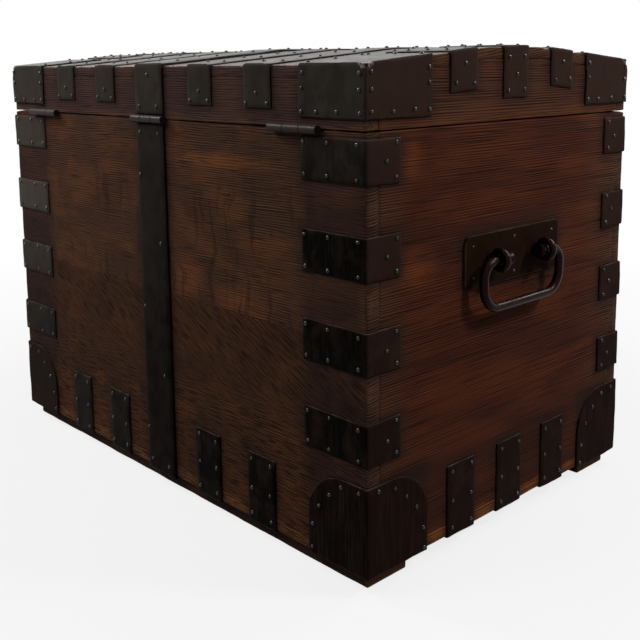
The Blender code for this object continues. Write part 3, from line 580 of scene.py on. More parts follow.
GLOWS = (
    ((-HALF_LENGTH, 0.181, 0.466), (0.05, 0.022, 0.024), 1.5),
    ((-HALF_LENGTH, 0.174, 0.347), (0.05, 0.045, 0.030), 1.5),
    ((-0.150, HALF_DEPTH, 0.453), (0.110, 0.05, 0.011), 1.6),
    ((-0.065, HALF_DEPTH, 0.300), (0.045, 0.05, 0.035), 1.1),
    ((-0.174, HALF_DEPTH, 0.286), (0.070, 0.05, 0.024), 1.1),
    ((0.165, HALF_DEPTH, 0.112), (0.030, 0.05, 0.014), 1.3),
    ((0.065, HALF_DEPTH, 0.118), (0.028, 0.05, 0.012), 1.2),
    ((-0.053, HALF_DEPTH, 0.124), (0.024, 0.05, 0.012), 1.2),
)


def wall_glow(places):
    """Where the polish has worn through to warmer oak."""
    glow = np.zeros(len(places))
    for middle, size, share in GLOWS:
        glow = np.maximum(glow, share * spread(places, middle, size))
    low_down = ramp(places[:, 2], 0.110, 0.060) * np.clip(patches(places, 19) * 2.2 - 0.5, 0, 1)
    low_down *= np.where(on_ends(places), 0.2, 1.0)
    return np.clip(np.maximum(glow, 0.8 * low_down) * (0.5 + patches(places, 60)), 0, 1)


def rub_joint(mesh):
    """Wears the top corners down a little, where the lid has knocked on them."""
    places = points_of(mesh)
    near_top = ramp(places[:, 2], CARCASE_TOP - 0.004, CARCASE_TOP)
    places[:, 2] -= KNOCK_DEPTH * ramp(corner_gap(places), KNOCK_REACH, 0.0) ** 1.5 * near_top
    move_points(mesh, places)


def long_wall(name, node, side, irons):
    """A long wall of two boards glued edge to edge, with the grain along the chest."""
    low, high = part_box(node)
    fore, aft = (0.05, 1) if side > 0 else (1, 0.05)
    marks = {"stain": corner_stain(irons), "wear": wall_wear, "glow": wall_glow, "dry": wall_dry}
    boards = []
    for foot, top, finish, ease in (
        (low.z, LONG_SEAM, oak_lower, ((1.6, fore, 1.4), (1.6, aft, 0.45))),
        (LONG_SEAM, high.z, oak_upper, ((1.6, fore, 0.35), (1.6, aft, 1.2))),
    ):
        cells = (72, 3, round((top - foot) / RIDGE_ROW))
        mesh = block_mesh((low.x, low.y, foot), (high.x, high.y, top), cells, *ease, finish,
                          face=FACE_Y, pitch=RIDGES_ALONG_X)
        rub_joint(mesh)
        boards.append(finish_board(mesh, marks, [((0, -side, 0), oak_inside), *END_GRAIN]))
    return join(name, boards)


def end_wall(name, side, irons):
    """An end wall between the long ones, of two boards with the grain across the chest."""
    near_x, far_x = sorted((side * HALF_LENGTH, side * (HALF_LENGTH - BOARD)))
    half = HALF_DEPTH - BOARD
    marks = {"stain": end_stain(irons), "wear": wall_wear, "glow": wall_glow, "dry": wall_dry}
    boards = []
    for foot, top, ease in (
        (CARCASE_BOTTOM, END_SEAM, ((1, 0.05, 1.4), (1, 0.05, 0.7))),
        (END_SEAM, CARCASE_TOP, ((1, 0.05, 0.6), (1, 0.05, 1.2))),
    ):
        cells = (3, 60, round((top - foot) / RIDGE_ROW))
        mesh = block_mesh((near_x, -half, foot), (far_x, half, top), cells, *ease, oak_end,
                          face=FACE_X, pitch=RIDGES_ALONG_Y)
        boards.append(finish_board(mesh, marks, [((-side, 0, 0), oak_inside_end)]))
    return join(name, boards)


def cut_lock_seat(mesh):
    """Lets the lock into the front wall from behind, and pierces the keyhole."""
    seat_low, seat_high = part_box("lock_case")
    clear = Vector((SEAT, SEAT, SEAT))
    slot_low = Vector((-KEYHOLE_SLOT / 2, -HALF_DEPTH - CUT_PAST, KEYHOLE_Z - KEYHOLE_LENGTH))
    slot_high = Vector((KEYHOLE_SLOT / 2, seat_low.y + 0.001, KEYHOLE_Z))
    cutter = bmesh.new()
    for low, high in (
        (seat_low - clear, seat_high + clear + Vector((0, CUT_PAST, CUT_PAST))),
        (slot_low, slot_high),
    ):
        for vert in bmesh.ops.create_cube(cutter, size=1.0)["verts"]:
            vert.co = (low + high) / 2 + Vector(a * b for a, b in zip(vert.co, high - low))
    hole = bmesh.ops.create_cone(cutter, cap_ends=True, segments=28, radius1=KEYHOLE_RADIUS,
                                 radius2=KEYHOLE_RADIUS, depth=KEYHOLE_DEPTH)["verts"]
    for vert in hole:
        vert.co = Vector((vert.co.x, -HALF_DEPTH - 0.004 + vert.co.z, KEYHOLE_Z + vert.co.y))
    bmesh.ops.recalc_face_normals(cutter, faces=cutter.faces)
    tool = put("lock_seat_tool", cast("lock_seat_tool", cutter))
    board = put("board", mesh)
    chisel = board.modifiers.new("chisel", "BOOLEAN")
    chisel.operation, chisel.solver, chisel.object = "DIFFERENCE", "EXACT", tool
    chisel.use_self = True
    cut = plain_mesh(board)
    bpy.data.objects.remove(board)
    bpy.data.objects.remove(tool)
    return cut


def nodes_named(*starts):
    """The part's nodes whose names begin so, in order of name."""
    return sorted(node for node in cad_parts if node.startswith(starts))


corner_irons = [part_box(node) for node in nodes_named("corner_strap", "corner_shoe")]
wall_irons = corner_irons + [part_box(node) for node in nodes_named("bottom_band")]
hinge_low, hinge_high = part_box("hinge_strap_lower")
front_strap = (hinge_low, Vector((hinge_high.x, 0, END_STRAP_TOP)))
back_strap = (Vector((hinge_low.x, 0, hinge_low.z)), hinge_high)
back_mesh = long_wall("back_wall", "back_panel", 1, wall_irons + [back_strap])
add_piece("back_wall", back_mesh, "carcase", ["back_panel"])
front_mesh = cut_lock_seat(long_wall("front_wall", "front_panel", -1, wall_irons + [front_strap]))
add_piece("front_wall", front_mesh, "carcase", ["front_panel"])
end_straps = []
for y in END_STRAP_Y:
    strap_low = Vector((-1, y - END_STRAP_WIDTH / 2, 0))
    end_straps.append((strap_low, Vector((1, y + END_STRAP_WIDTH / 2, END_STRAP_TOP))))
for word, side in ENDS:
    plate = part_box(word + "_handle_plate")
    mesh = end_wall(word + "_end_wall", side, corner_irons + end_straps + [plate])
    add_piece(word + "_end_wall", mesh, "carcase", [word + "_end_panel"])


# Bottom board and runners
# The bottom is one oak board let in between the walls, bare inside.
# Two oak runners under it carry the chest, sawn square at the ends and notched over the irons.

RUNNER_INSET = 0.010
NOTCH_ROOM = 0.006
oak_runner = oak("oak_runner", ALONG_X, {**DARK_OAK, "body": (0.080, 0.042, 0.020, 1)})


def end_wear(places):
    """Rubbed at both ends of a runner."""
    return 0.8 * ramp(HALF_LENGTH - RUNNER_INSET - abs(places[:, 0]), 0.004, 0.0)


def runner_painted_shade(places):
    """The runners' outer sides under the chest, darkened as painted shade, all but their ends."""
    on_side = ramp(abs(places[:, 1]), HALF_DEPTH - 0.014, HALF_DEPTH - 0.012)
    return on_side * (abs(places[:, 0]) < HALF_LENGTH - 0.013)


low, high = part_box("bottom_board")
mesh = block_mesh(low, high, (64, 120, 2), (1, 1, 1), (1, 1, 1), oak_inside,
                  face=FACE_Z, pitch=[2.5, 120.0, 9.0])
add_piece("bottom", join("bottom", [finish_board(mesh, {})]), "carcase", ["bottom_board"])
under_irons = [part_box(node) for node in nodes_named("corner_shoe", "bottom_band", "hinge_strap_lower")]
for word in ("back", "front"):
    name = word + "_runner_rail"
    low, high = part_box(word + "_runner")
    mesh = block_mesh(low, high, (96, 18, 8), (1.4, 1.0, 1.4), (1.4, 1.0, 0.4), oak_runner,
                      face=FACE_Y, pitch=RIDGES_ALONG_X)
    # The runners' outer sides get painted shade through the same mark as the iron's bloom.
    finish_board(mesh, {"stain": runner_painted_shade, "wear": end_wear}, END_GRAIN)
    places = points_of(mesh)
    for iron_low, iron_high in under_irons:
        under = (places[:, 0] > iron_low.x - NOTCH_ROOM) & (places[:, 0] < iron_high.x + NOTCH_ROOM)
        places[under, 2] = np.minimum(places[under, 2], iron_low.z - SEAT)
    move_points(mesh, places)
    add_piece(name, join(name, [mesh]), "carcase", [word + "_runner"])


# Corner straps
# Four straps of blacked sheet iron on each corner, folded hot round it and held by clenched nails.
# The long leg has six nails in two rows and the short leg three; the fold is soft and the edges uneven.

SHEET = 0.002
FOLD_ROUND = 0.0026
RIM_BEVEL = 0.0006
HAMMER_DENT = 0.00022
EDGE_STRAY = 0.0006
NAIL_STRAY = 0.0009
HAMMER_SEED = 11
LONG_LEG_NAILS = (0.06, 0.42, 0.88)
LONG_LEG_TOP, LONG_LEG_FOOT = 0.0055, 0.0065
SHORT_LEG_TOP, SHORT_LEG_FOOT = 0.0045, 0.0075
SHORT_LEG_OUTER, SHORT_LEG_INNER = 0.84, 0.58
BRIGHT_TEAR = (0.34, 0.285, 0.265, 1)
noise.seed_set(HAMMER_SEED)


def plant_iron_marks():
    """What years leave on blacked iron: scratches, dull clouds, rust bloom and pits; and a painted sheen,
    greyer up one end and higher up.
    """
    outputs = dict.fromkeys(("Scratches", "Clouds", "Rust", "Pits", "Fade", "Brown"), "Float")
    tree, _, given, out = new_tree("iron_marks", "ShaderNodeTree", {"Place": "Vector"}, outputs)
    marks = {
        "Scratches": stretched(given["Place"], (420, 420, 16), 0.42, 0.70, 3.0),
        "Clouds": stretched(given["Place"], (48, 48, 36), 0.34, 0.68, 5.0, 0.5),
        "Rust": stretched(given["Place"], (40, 40, 40), 0.50, 0.70, 4.0),
        "Pits": stretched(given["Place"], (520, 520, 520), 0.58, 0.74, 2.0),
    }
    place = add_node(tree, "ShaderNodeSeparateXYZ", {"Vector": given["Place"]}).outputs
    # The painted sheen: greyer towards the +x end and higher up, where a lamp's sheen would fall.
    length = {"Value": place["X"], "From Min": -HALF_LENGTH, "From Max": HALF_LENGTH}
    along = calc("POWER", add_node(tree, "ShaderNodeMapRange", length).outputs[0], 1.6)
    raised = level(place["Z"], 0.16, 0.38)
    crown = level(place["Z"], 0.40, 0.54)
    painted_sheen = by_share(by_share(along, raised, 0.68, 0.32), crown, -0.38, 1.0)
    near_end = calc("SUBTRACT", 1.0, along)
    painted_sheen = times_plus(near_end, times(crown, 0.42), painted_sheen)
    painted_sheen = calc("ADD", painted_sheen, times_plus(marks["Clouds"], 0.18, -0.09))
    marks["Fade"] = calc("MINIMUM", calc("MAXIMUM", painted_sheen, 0.0), 1.0)
    marks["Brown"] = times_plus(raised, 0.35, 0.35)
    for label, mark in marks.items():
        tree.links.new(mark, out[label])
    return tree


iron_marks = plant_iron_marks()


def iron(name, black, grey, rust, bare, metal=0.0, gloss=0.004, rough=(0.36, 0.58), streaks=0.06):
    """Iron blacked and waxed, greyed by a painted sheen, with a painted highlight along the upper edges of
    folded sheets and rubbed edges on plates, and bright where it is torn.
    """
    material, tree, shader, place = start_finish(name)
    marks = add_node(tree, "ShaderNodeGroup", {"Place": place}, node_tree=iron_marks).outputs
    # Painted sheen: the grey laid over the black.
    colour = tint(marks["Fade"], black, grey)
    colour = tint(times(marks["Scratches"], streaks), colour, grey)
    browned = times(painted(tree, "brown"), marks["Brown"])
    rusted = times_plus(marks["Rust"], 0.28, browned)
    colour = tint(calc("MINIMUM", rusted, 0.9), colour, rust)
    # Rim colour: on folded sheets a painted highlight along the upper edges, where light from above would
    # catch them; on the plates, rubbed edges all round.
    rim = calc("POWER", painted(tree, "rim"), 4.0)
    colour = tint(by_share(rim, marks["Clouds"], 0.6, 0.25), colour, bare)
    colour = tint(painted(tree, "torn"), colour, BRIGHT_TEAR)
    dull = calc("MAXIMUM", marks["Clouds"], marks["Rust"])
    relief = times_plus(marks["Scratches"], 0.35, times(marks["Pits"], -0.8))
    close_finish(tree, shader, colour, dull, rough, (relief, 0.4, 0.0003), gloss)
    shader.inputs["Metallic"].default_value = metal
    return material


black_iron = iron(
    "blacked_iron", black=(0.0018, 0.0012, 0.0008, 1), grey=(0.040, 0.0335, 0.0275, 1),
    rust=(0.0210, 0.0104, 0.0076, 1), bare=(0.080, 0.064, 0.054, 1))


def folded_iron(low, high, kept, thickness, cells, finish, fold=FOLD_ROUND, shape=None, torn=None):
    """A sheet folded over the kept sides of a block, with its thickness inside them and its edges uneven."""
    eased_low = [1.0 if (axis, -1) in kept else 0.0 for axis in range(3)]
    eased_high = [1.0 if (axis, 1) in kept else 0.0 for axis in range(3)]
    block = block_mesh(low, high, cells, eased_low, eased_high, finish, edge=fold)
    sheet = bmesh.new()
    sheet.from_mesh(block)
    bpy.data.meshes.remove(block)
    open_sides = []
    for face in sheet.faces:
        axis = max(range(3), key=lambda a: abs(face.normal[a]))
        if (axis, 1 if face.normal[axis] > 0 else -1) not in kept:
            open_sides.append(face)
    bmesh.ops.delete(sheet, geom=open_sides, context="FACES")
    if shape:
        for vert in sheet.verts:
            vert.co = shape(vert.co.copy())
    sheet.normal_update()
    rim = sheet.verts.layers.float.new("rim")
    ripped = sheet.verts.layers.float.new("torn")
    brown = sheet.verts.layers.float.new("brown")
    for vert in sheet.verts:
        inner = sum((face.calc_center_median() for face in vert.link_faces), Vector()) / len(vert.link_faces)
        # Painted highlight: the rim mark grows the more an edge faces up, so only upper edges are lit.
        vert[rim] = 0.25 + 0.75 * max((vert.co - inner).normalized().z, 0) if vert.is_boundary else 0.0
        vert[ripped] = torn(vert.co) if torn else 0.0
        vert[brown] = max(2 * abs(vert.normal.x) - 1, 0)
        vert.co += vert.normal * noise.noise(vert.co * 34) * HAMMER_DENT
        if vert.is_boundary:
            stray = noise.noise_vector(vert.co * 55) * EDGE_STRAY
            vert.co += stray - vert.normal * stray.dot(vert.normal)
    blank = put("blank", cast("sheet", sheet, finish))
    plate = blank.modifiers.new("thickness", "SOLIDIFY")
    plate.thickness, plate.offset, plate.use_even_offset = thickness, -1, True
    rim_bevel = blank.modifiers.new("rim", "BEVEL")
    rim_bevel.width, rim_bevel.segments, rim_bevel.limit_method = RIM_BEVEL, 2, "ANGLE"
    rim_bevel.angle_limit = math.radians(50)
    forged = plain_mesh(blank)
    bpy.data.objects.remove(blank)
    return smoothed(forged, 48)


nails = {"carcase": [], "lid": []}
hammer = np.random.default_rng(HAMMER_SEED)


def drive(body, place, facing):
    """Notes where a nail is driven, a little off its mark, and the way its head faces."""
    facing = Vector(facing).normalized()
    miss = Vector(hammer.uniform(-NAIL_STRAY, NAIL_STRAY, 3))
    nails[body].append((Vector(place) + miss - facing * miss.dot(facing), facing))


def corner_lines(low, high):
    """The corner that an iron is folded on: its two signs, then where it folds and ends in x and in y."""
    sx = 1 if low.x > 0 else -1
    sy = 1 if low.y > 0 else -1
    fold_x, far_x = (high.x, low.x) if sx > 0 else (low.x, high.x)
    fold_y, far_y = (high.y, low.y) if sy > 0 else (low.y, high.y)
    return sx, sy, fold_x, far_x, fold_y, far_y


def between(start, end, share):
    """The place at this share of the way from a start to an end."""
    return start + (end - start) * share


for node in nodes_named("corner_strap"):
    low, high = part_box(node)
    sx, sy, fold_x, far_x, fold_y, far_y = corner_lines(low, high)
    mesh = folded_iron(low, high, {(0, sx), (1, sy)}, SHEET, (22, 15, 12), black_iron)
    add_piece(node.replace("corner_strap", "strap"), mesh, "carcase", [node])
    for share in LONG_LEG_NAILS:
        x = between(far_x, fold_x, share)
        drive("carcase", (x, fold_y, high.z - LONG_LEG_TOP), (0, sy, 0))
        drive("carcase", (x, fold_y, low.z + LONG_LEG_FOOT), (0, sy, 0))
    for share, z in (
        (SHORT_LEG_OUTER, high.z - SHORT_LEG_TOP),
        (SHORT_LEG_INNER, (low.z + high.z) / 2),
        (SHORT_LEG_OUTER, low.z + SHORT_LEG_FOOT),
    ):
        drive("carcase", (fold_x, between(fold_y, far_y, share), z), (sx, 0, 0))


# Corner shoes
# A shoe of sheet iron on each bottom corner, folded over the two walls and under the bottom.
# Its upper outline is a quarter round on each wall, with six nails along it.

SHOE_ROUND = 0.057
SHOE_LONG_NAILS = (
    (0.0860, 0.0272), (0.0843, 0.0546), (0.0745, 0.0788),
    (0.0575, 0.0975), (0.0380, 0.1115), (0.0112, 0.1140),
)
SHOE_END_NAILS = (
    (0.0170, 0.1145), (0.0420, 0.1100), (0.0620, 0.0955),
    (0.0790, 0.0765), (0.0895, 0.0490), (0.0910, 0.0252),
)
shoe_iron = iron(
    "blacked_shoe_iron", black=(0.0026, 0.0016, 0.0010, 1), grey=(0.026, 0.0160, 0.0120, 1),
    rust=(0.0150, 0.0066, 0.0052, 1), bare=(0.075, 0.056, 0.048, 1), streaks=0.32)


def shoe_outline(low, high, far_x, far_y):
    """Draws each upright side down to the shoe's rounded outline."""
    height = high.z - low.z

    def shaped(place):
        run = min(abs(place.x) - abs(far_x), abs(place.y) - abs(far_y))
        drop = SHOE_ROUND - math.sqrt(max(SHOE_ROUND ** 2 - max(SHOE_ROUND - run, 0) ** 2, 0))
        place.z = low.z + (place.z - low.z) * (height - drop) / height
        return place
    return shaped


for node in nodes_named("corner_shoe"):
    low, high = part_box(node)
    sx, sy, fold_x, far_x, fold_y, far_y = corner_lines(low, high)
    mesh = folded_iron(low, high, {(0, sx), (1, sy), (2, -1)}, SHEET, (30, 30, 24), shoe_iron,
                       shape=shoe_outline(low, high, far_x, far_y))
    add_piece(node.replace("corner_", ""), mesh, "carcase", [node])
    for run, z in SHOE_LONG_NAILS:
        drive("carcase", (fold_x - sx * run, fold_y, z), (0, sy, 0))
    for run, z in SHOE_END_NAILS:
        drive("carcase", (fold_x, fold_y - sy * run, z), (sx, 0, 0))


# Bottom bands
# Four bands of the same iron run up the back, under the bottom and up the front.
# Each end wall has three short straps folded under it. All are held by pairs of nails.

BAND_NAIL_INSET = 0.0075
BAND_NAIL_TOP, BAND_NAIL_FOOT = 0.008, 0.012
END_STRAP_SHY = 0.0012
END_FACE = HALF_LENGTH + SEAT + SHEET


def band_rows(foot, top):
    """The heights of a band's three pairs of nails."""
    return top - BAND_NAIL_TOP, (foot + top) / 2, foot + BAND_NAIL_FOOT


for node in nodes_named("bottom_band"):
    low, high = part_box(node)
    mesh = folded_iron(low, high, {(1, -1), (1, 1), (2, -1)}, SHEET, (10, 44, 18), black_iron)
    add_piece(node.replace("bottom_", "carcase_"), mesh, "carcase", [node])
    for sy, y in ((-1, low.y), (1, high.y)):
        for z in band_rows(low.z, high.z):
            for x in (low.x + BAND_NAIL_INSET, high.x - BAND_NAIL_INSET):
                drive("carcase", (x, y, z), (0, sy, 0))
for word, side in ENDS:
    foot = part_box(word + "_end_panel")[0].z
    near_x, far_x = sorted((side * END_FACE, side * (HALF_LENGTH - BOARD + END_STRAP_SHY)))
    for number, y in enumerate(END_STRAP_Y, 1):
        left, right = y - END_STRAP_WIDTH / 2, y + END_STRAP_WIDTH / 2
        mesh = folded_iron((near_x, left, foot), (far_x, right, END_STRAP_TOP), {(0, side), (2, -1)},
                           SHEET, (6, 10, 18), black_iron)
        add_piece(f"{word}_end_strap_{number}", mesh, "carcase", [word + "_end_panel"])
        for z in band_rows(foot, END_STRAP_TOP):
            for nail_y in (left + BAND_NAIL_INSET, right - BAND_NAIL_INSET):
                drive("carcase", (side * END_FACE, nail_y, z), (side, 0, 0))


# Lid boards
# A canted oak top on four rails: flat along the middle, falling to an eave at the front and the back.
# Its upper side is grey and dry from the weather, and paler still as a painted sheen; its edge shows as a
# line under the eave.

LID_RISE = 0.0175
LID_FLAT = 0.100
LID_STRAP_WIDTH = 0.047
SHORT_DROP = 0.044
LONG_DROP = 0.058
LID_END_STRAPS = ((-0.0955, SHORT_DROP), (0.0, LONG_DROP), (0.0955, SHORT_DROP))
# Top board tones: partly weathered grey, partly a painted sheen that makes it paler than the oak would show
# from above.
TOP_OAK = {
    **DARK_OAK,
    "body": (0.0920, 0.0590, 0.0420, 1),
    "warm": (0.0960, 0.0570, 0.0360, 1),
    "band": (0.0560, 0.0370, 0.0275, 1),
}
RAIL_OAK = {
    **DARK_OAK,
    "deep": (0.0090, 0.0048, 0.0044, 1),
    "body": (0.0430, 0.0225, 0.0190, 1),
    "band": (0.0270, 0.0140, 0.0130, 1),
    "warm": (0.0560, 0.0260, 0.0165, 1),
}
oak_top = oak("oak_lid_top", ALONG_X, TOP_OAK, gloss=0.5, rough=(0.52, 0.36))
oak_rail = oak("oak_lid_rail", ALONG_X, RAIL_OAK)
top_low, top_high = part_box("lid_top")
LID_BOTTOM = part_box("lid_back_rail")[0].z
EAVE = top_high.z - LID_RISE
RAIL_TOP = top_low.z - SEAT


def lid_rise(y):
    """How far the lid stands above its eave at this distance from the middle."""
    return LID_RISE * (1 - max(abs(y) - LID_FLAT / 2, 0) / (HALF_DEPTH - LID_FLAT / 2))


def cant(mesh, foot, top):
    """Lifts a board's points to the lid's cant, the more the nearer they are to its top."""
    places = points_of(mesh)
    share = ramp(places[:, 2], foot, top) if top > foot else 1.0
    places[:, 2] += np.array([lid_rise(y) for y in places[:, 1]]) * share
    move_points(mesh, places)
    mesh.update()


def lid_wear(places):
    """Rubbed along the joint and at the corners of the lid."""
    gap = corner_gap(places)
    joint = ramp(places[:, 2], LID_BOTTOM + 0.011, LID_BOTTOM) * (0.3 + 0.6 * ramp(gap, 0.15, 0.0))
    joint *= 0.3 + 1.2 * patches(places, 43)
    return np.maximum(joint, 0.7 * ramp(gap, 0.008, 0.0))


def lid_dry(places):
    """The ends of the lid have dried all over."""
    return 0.35 + 0.5 * patches(places, 23)


lid_irons = [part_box(node) for node in nodes_named("lid_corner", "lid_band", "hinge_strap_upper")]
mesh = block_mesh(top_low, (top_high.x, top_high.y, EAVE), (96, 210, 3), (1.5, 1.5, 0.4), (1.5, 1.5, 1.5),
                  oak_top, face=FACE_Z, pitch=[2.5, 130.0, 9.0])
lid_sides = [((0, 0, -1), oak_inside), ((0, 1, 0), oak_rail), ((0, -1, 0), oak_rail), *END_GRAIN]
finish_board(mesh, {"stain": iron_stain(lid_irons), "wear": lid_wear}, lid_sides)
cant(mesh, 0, 0)
add_piece("lid_top_board", join("lid_top_board", [mesh]), "lid", ["lid_top"])
for word, side in (("back", 1), ("front", -1)):
    name, node = f"lid_rail_{word}", f"lid_{word}_rail"
    low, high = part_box(node)
    mesh = block_mesh(low, (high.x, high.y, RAIL_TOP), (72, 3, 38), (1.6, 1, 1.2), (1.6, 1, 0.3), oak_rail,
                      face=FACE_Y, pitch=RIDGES_ALONG_X)
    finish_board(mesh, {"stain": iron_stain(lid_irons), "wear": lid_wear}, [((0, -side, 0), oak_inside)])
    cant(mesh, low.z, RAIL_TOP)
    add_piece(name, join(name, [mesh]), "lid", [node])
lid_straps = []
for y, drop in LID_END_STRAPS:
    strap_low = Vector((-1, y - LID_STRAP_WIDTH / 2, EAVE + lid_rise(y) - drop))
    lid_straps.append((strap_low, Vector((1, y + LID_STRAP_WIDTH / 2, 1))))
end_marks = {"stain": iron_stain(lid_irons + lid_straps), "wear": lid_wear, "dry": lid_dry}
for word, side in ENDS:
    name, node = f"lid_end_{word}", f"lid_{word}_end"
    low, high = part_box(node)
    near_x, far_x = sorted((side * HALF_LENGTH, side * (HALF_LENGTH - BOARD)))
    mesh = block_mesh((near_x, low.y, low.z), (far_x, high.y, RAIL_TOP), (3, 60, 46), (1, 0.3, 1.2),
                      (1, 0.3, 0.3), oak_end, face=FACE_X, pitch=RIDGES_ALONG_Y)
    finish_board(mesh, end_marks, [((-side, 0, 0), oak_inside_end)])
    cant(mesh, low.z, RAIL_TOP)
    add_piece(name, join(name, [mesh]), "lid", [node])


# Lid corner caps
# A cap of sheet iron on each corner of the lid, folded down over the rail and the end.
# The spare metal at the corner is hammered over into small crumpled folds.

LID_LEAN = 0.087
LID_FACE = EAVE + SEAT + SHEET
CRUMPLE_REACH = 0.019
CRUMPLE_FOLD = 0.0024
CRUMPLE_SINK = 0.0013
TEAR_REACH = 0.013
CAP_NAIL_INSET = 0.006
CAP_SIDE_ROWS = (0.010, 0.0265)
CAP_LONG_FOOT, CAP_END_FOOT = 0.0065, 0.0075
CAP_SIDE_NAILS = (0.06, 0.92)
CAP_FOOT_NAILS = (0.05, 0.28, 0.60, 0.92)
CAP_TOP_NAILS = (0.1, 0.5, 0.9)
up_facing_iron = iron(
    "dry_lid_iron", black=(0.012, 0.0105, 0.0092, 1), grey=(0.040, 0.035, 0.0305, 1),
    rust=(0.020, 0.013, 0.010, 1), bare=(0.06, 0.052, 0.044, 1), gloss=0.4, rough=(0.34, 0.50))


def face_up(mesh):
    """Gives the sides of a lid iron that face up a lighter, glossier finish."""
    mesh.materials.append(up_facing_iron)
    for face in mesh.polygons:
        if face.normal.z > 0.9:
            face.material_index = len(mesh.materials) - 1
    return mesh


def cap_shape(low, tip):
    """Lifts the cap to the lid's cant and crumples its top corner."""
    inwards = Vector((-math.copysign(1, tip.x), -math.copysign(1, tip.y), -0.8))

    def shaped(place):
        near = max(1 - (place - tip).length / CRUMPLE_REACH, 0) ** 1.2
        share = (place.z - low.z) / (tip.z - low.z)
        place.z += lid_rise(place.y) * min(max(share, 0), 1)
        folds = noise.noise_vector(place * 190) * CRUMPLE_FOLD
        place += (folds + inwards * CRUMPLE_SINK) * near
        return place
    return shaped


def torn_metal(tip):
    """Bright metal in patches where the cap's corner is crumpled."""
    def torn(place):
        gap = place - tip
        gap.z *= 1.9
        near = min(max(1 - gap.length / TEAR_REACH, 0) * 2.2, 1)
        return near * min(max(0.35 + 1.6 * noise.noise(place * 330), 0), 1)
    return torn


for node in nodes_named("lid_corner"):
    low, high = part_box(node)
    sx, sy, fold_x, far_x, fold_y, far_y = corner_lines(low, high)
    tip = Vector((sx * END_FACE, sy * (HALF_DEPTH + SEAT + SHEET), LID_FACE))
    mesh = folded_iron(low, (high.x, high.y, LID_FACE), {(0, sx), (1, sy), (2, 1)}, SHEET, (40, 40, 26),
                       black_iron, shape=cap_shape(low, tip), torn=torn_metal(tip))
    add_piece(node.replace("lid_corner", "lid_cap"), face_up(mesh), "lid", [node])
    for share in CAP_SIDE_NAILS:
        x, y = between(far_x, fold_x, share), between(far_y, fold_y, share)
        for down in CAP_SIDE_ROWS:
            drive("lid", (x, fold_y, LID_FACE - down), (0, sy, 0))
            drive("lid", (fold_x, y, LID_FACE - down + lid_rise(y) * 0.6), (sx, 0, 0))
    for share in CAP_FOOT_NAILS:
        drive("lid", (between(far_x, fold_x, share), fold_y, low.z + CAP_LONG_FOOT), (0, sy, 0))
        drive("lid", (fold_x, between(far_y, fold_y, share), low.z + CAP_END_FOOT), (sx, 0, 0))
    lean, inner_y = (0, sy * LID_LEAN, 1), far_y + sy * CAP_NAIL_INSET
    for share in CAP_TOP_NAILS:
        x, y = between(far_x, fold_x, share), between(far_y, fold_y, share)
        drive("lid", (far_x + sx * CAP_NAIL_INSET, y, LID_FACE + lid_rise(y)), lean)
        drive("lid", (x, inner_y, LID_FACE + lid_rise(inner_y)), lean)


# Lid bands and end straps
# Four bands over the lid from rail to rail, and three straps over each of its ends, all of sheet iron.
# They follow the cant of the top and are held by rows of nails along both edges.

LID_STRAP_RUN = 0.095
LID_BAND_NAIL_INSET = 0.005
LID_BAND_ROWS = (0.0167, 0.0055)
LID_TOP_NAILS = np.linspace(-0.225, 0.225, 9)
LID_TOP_NAIL_INSET = 0.007
LID_END_NAIL_INSET = 0.008
LID_END_NAIL_RUNS = (0.012, 0.040, 0.068, 0.090)
LID_END_NAIL_FOOT = 0.009
LONG_STRAP_NAIL_TOP = 0.011
LONG_STRAP_NAIL_MIDDLE, SHORT_STRAP_NAIL_MIDDLE = 0.032, 0.013


def canted(place):
    """Lifts a place on a lid iron to the lid's cant."""
    place.z += lid_rise(place.y) if abs(place.y) < HALF_DEPTH else 0.0
    return place


def lean_at(y):
    """The way a nail's head faces on the lid's top."""
    return (0, math.copysign(LID_LEAN, y) if abs(y) > LID_FLAT / 2 else 0, 1)


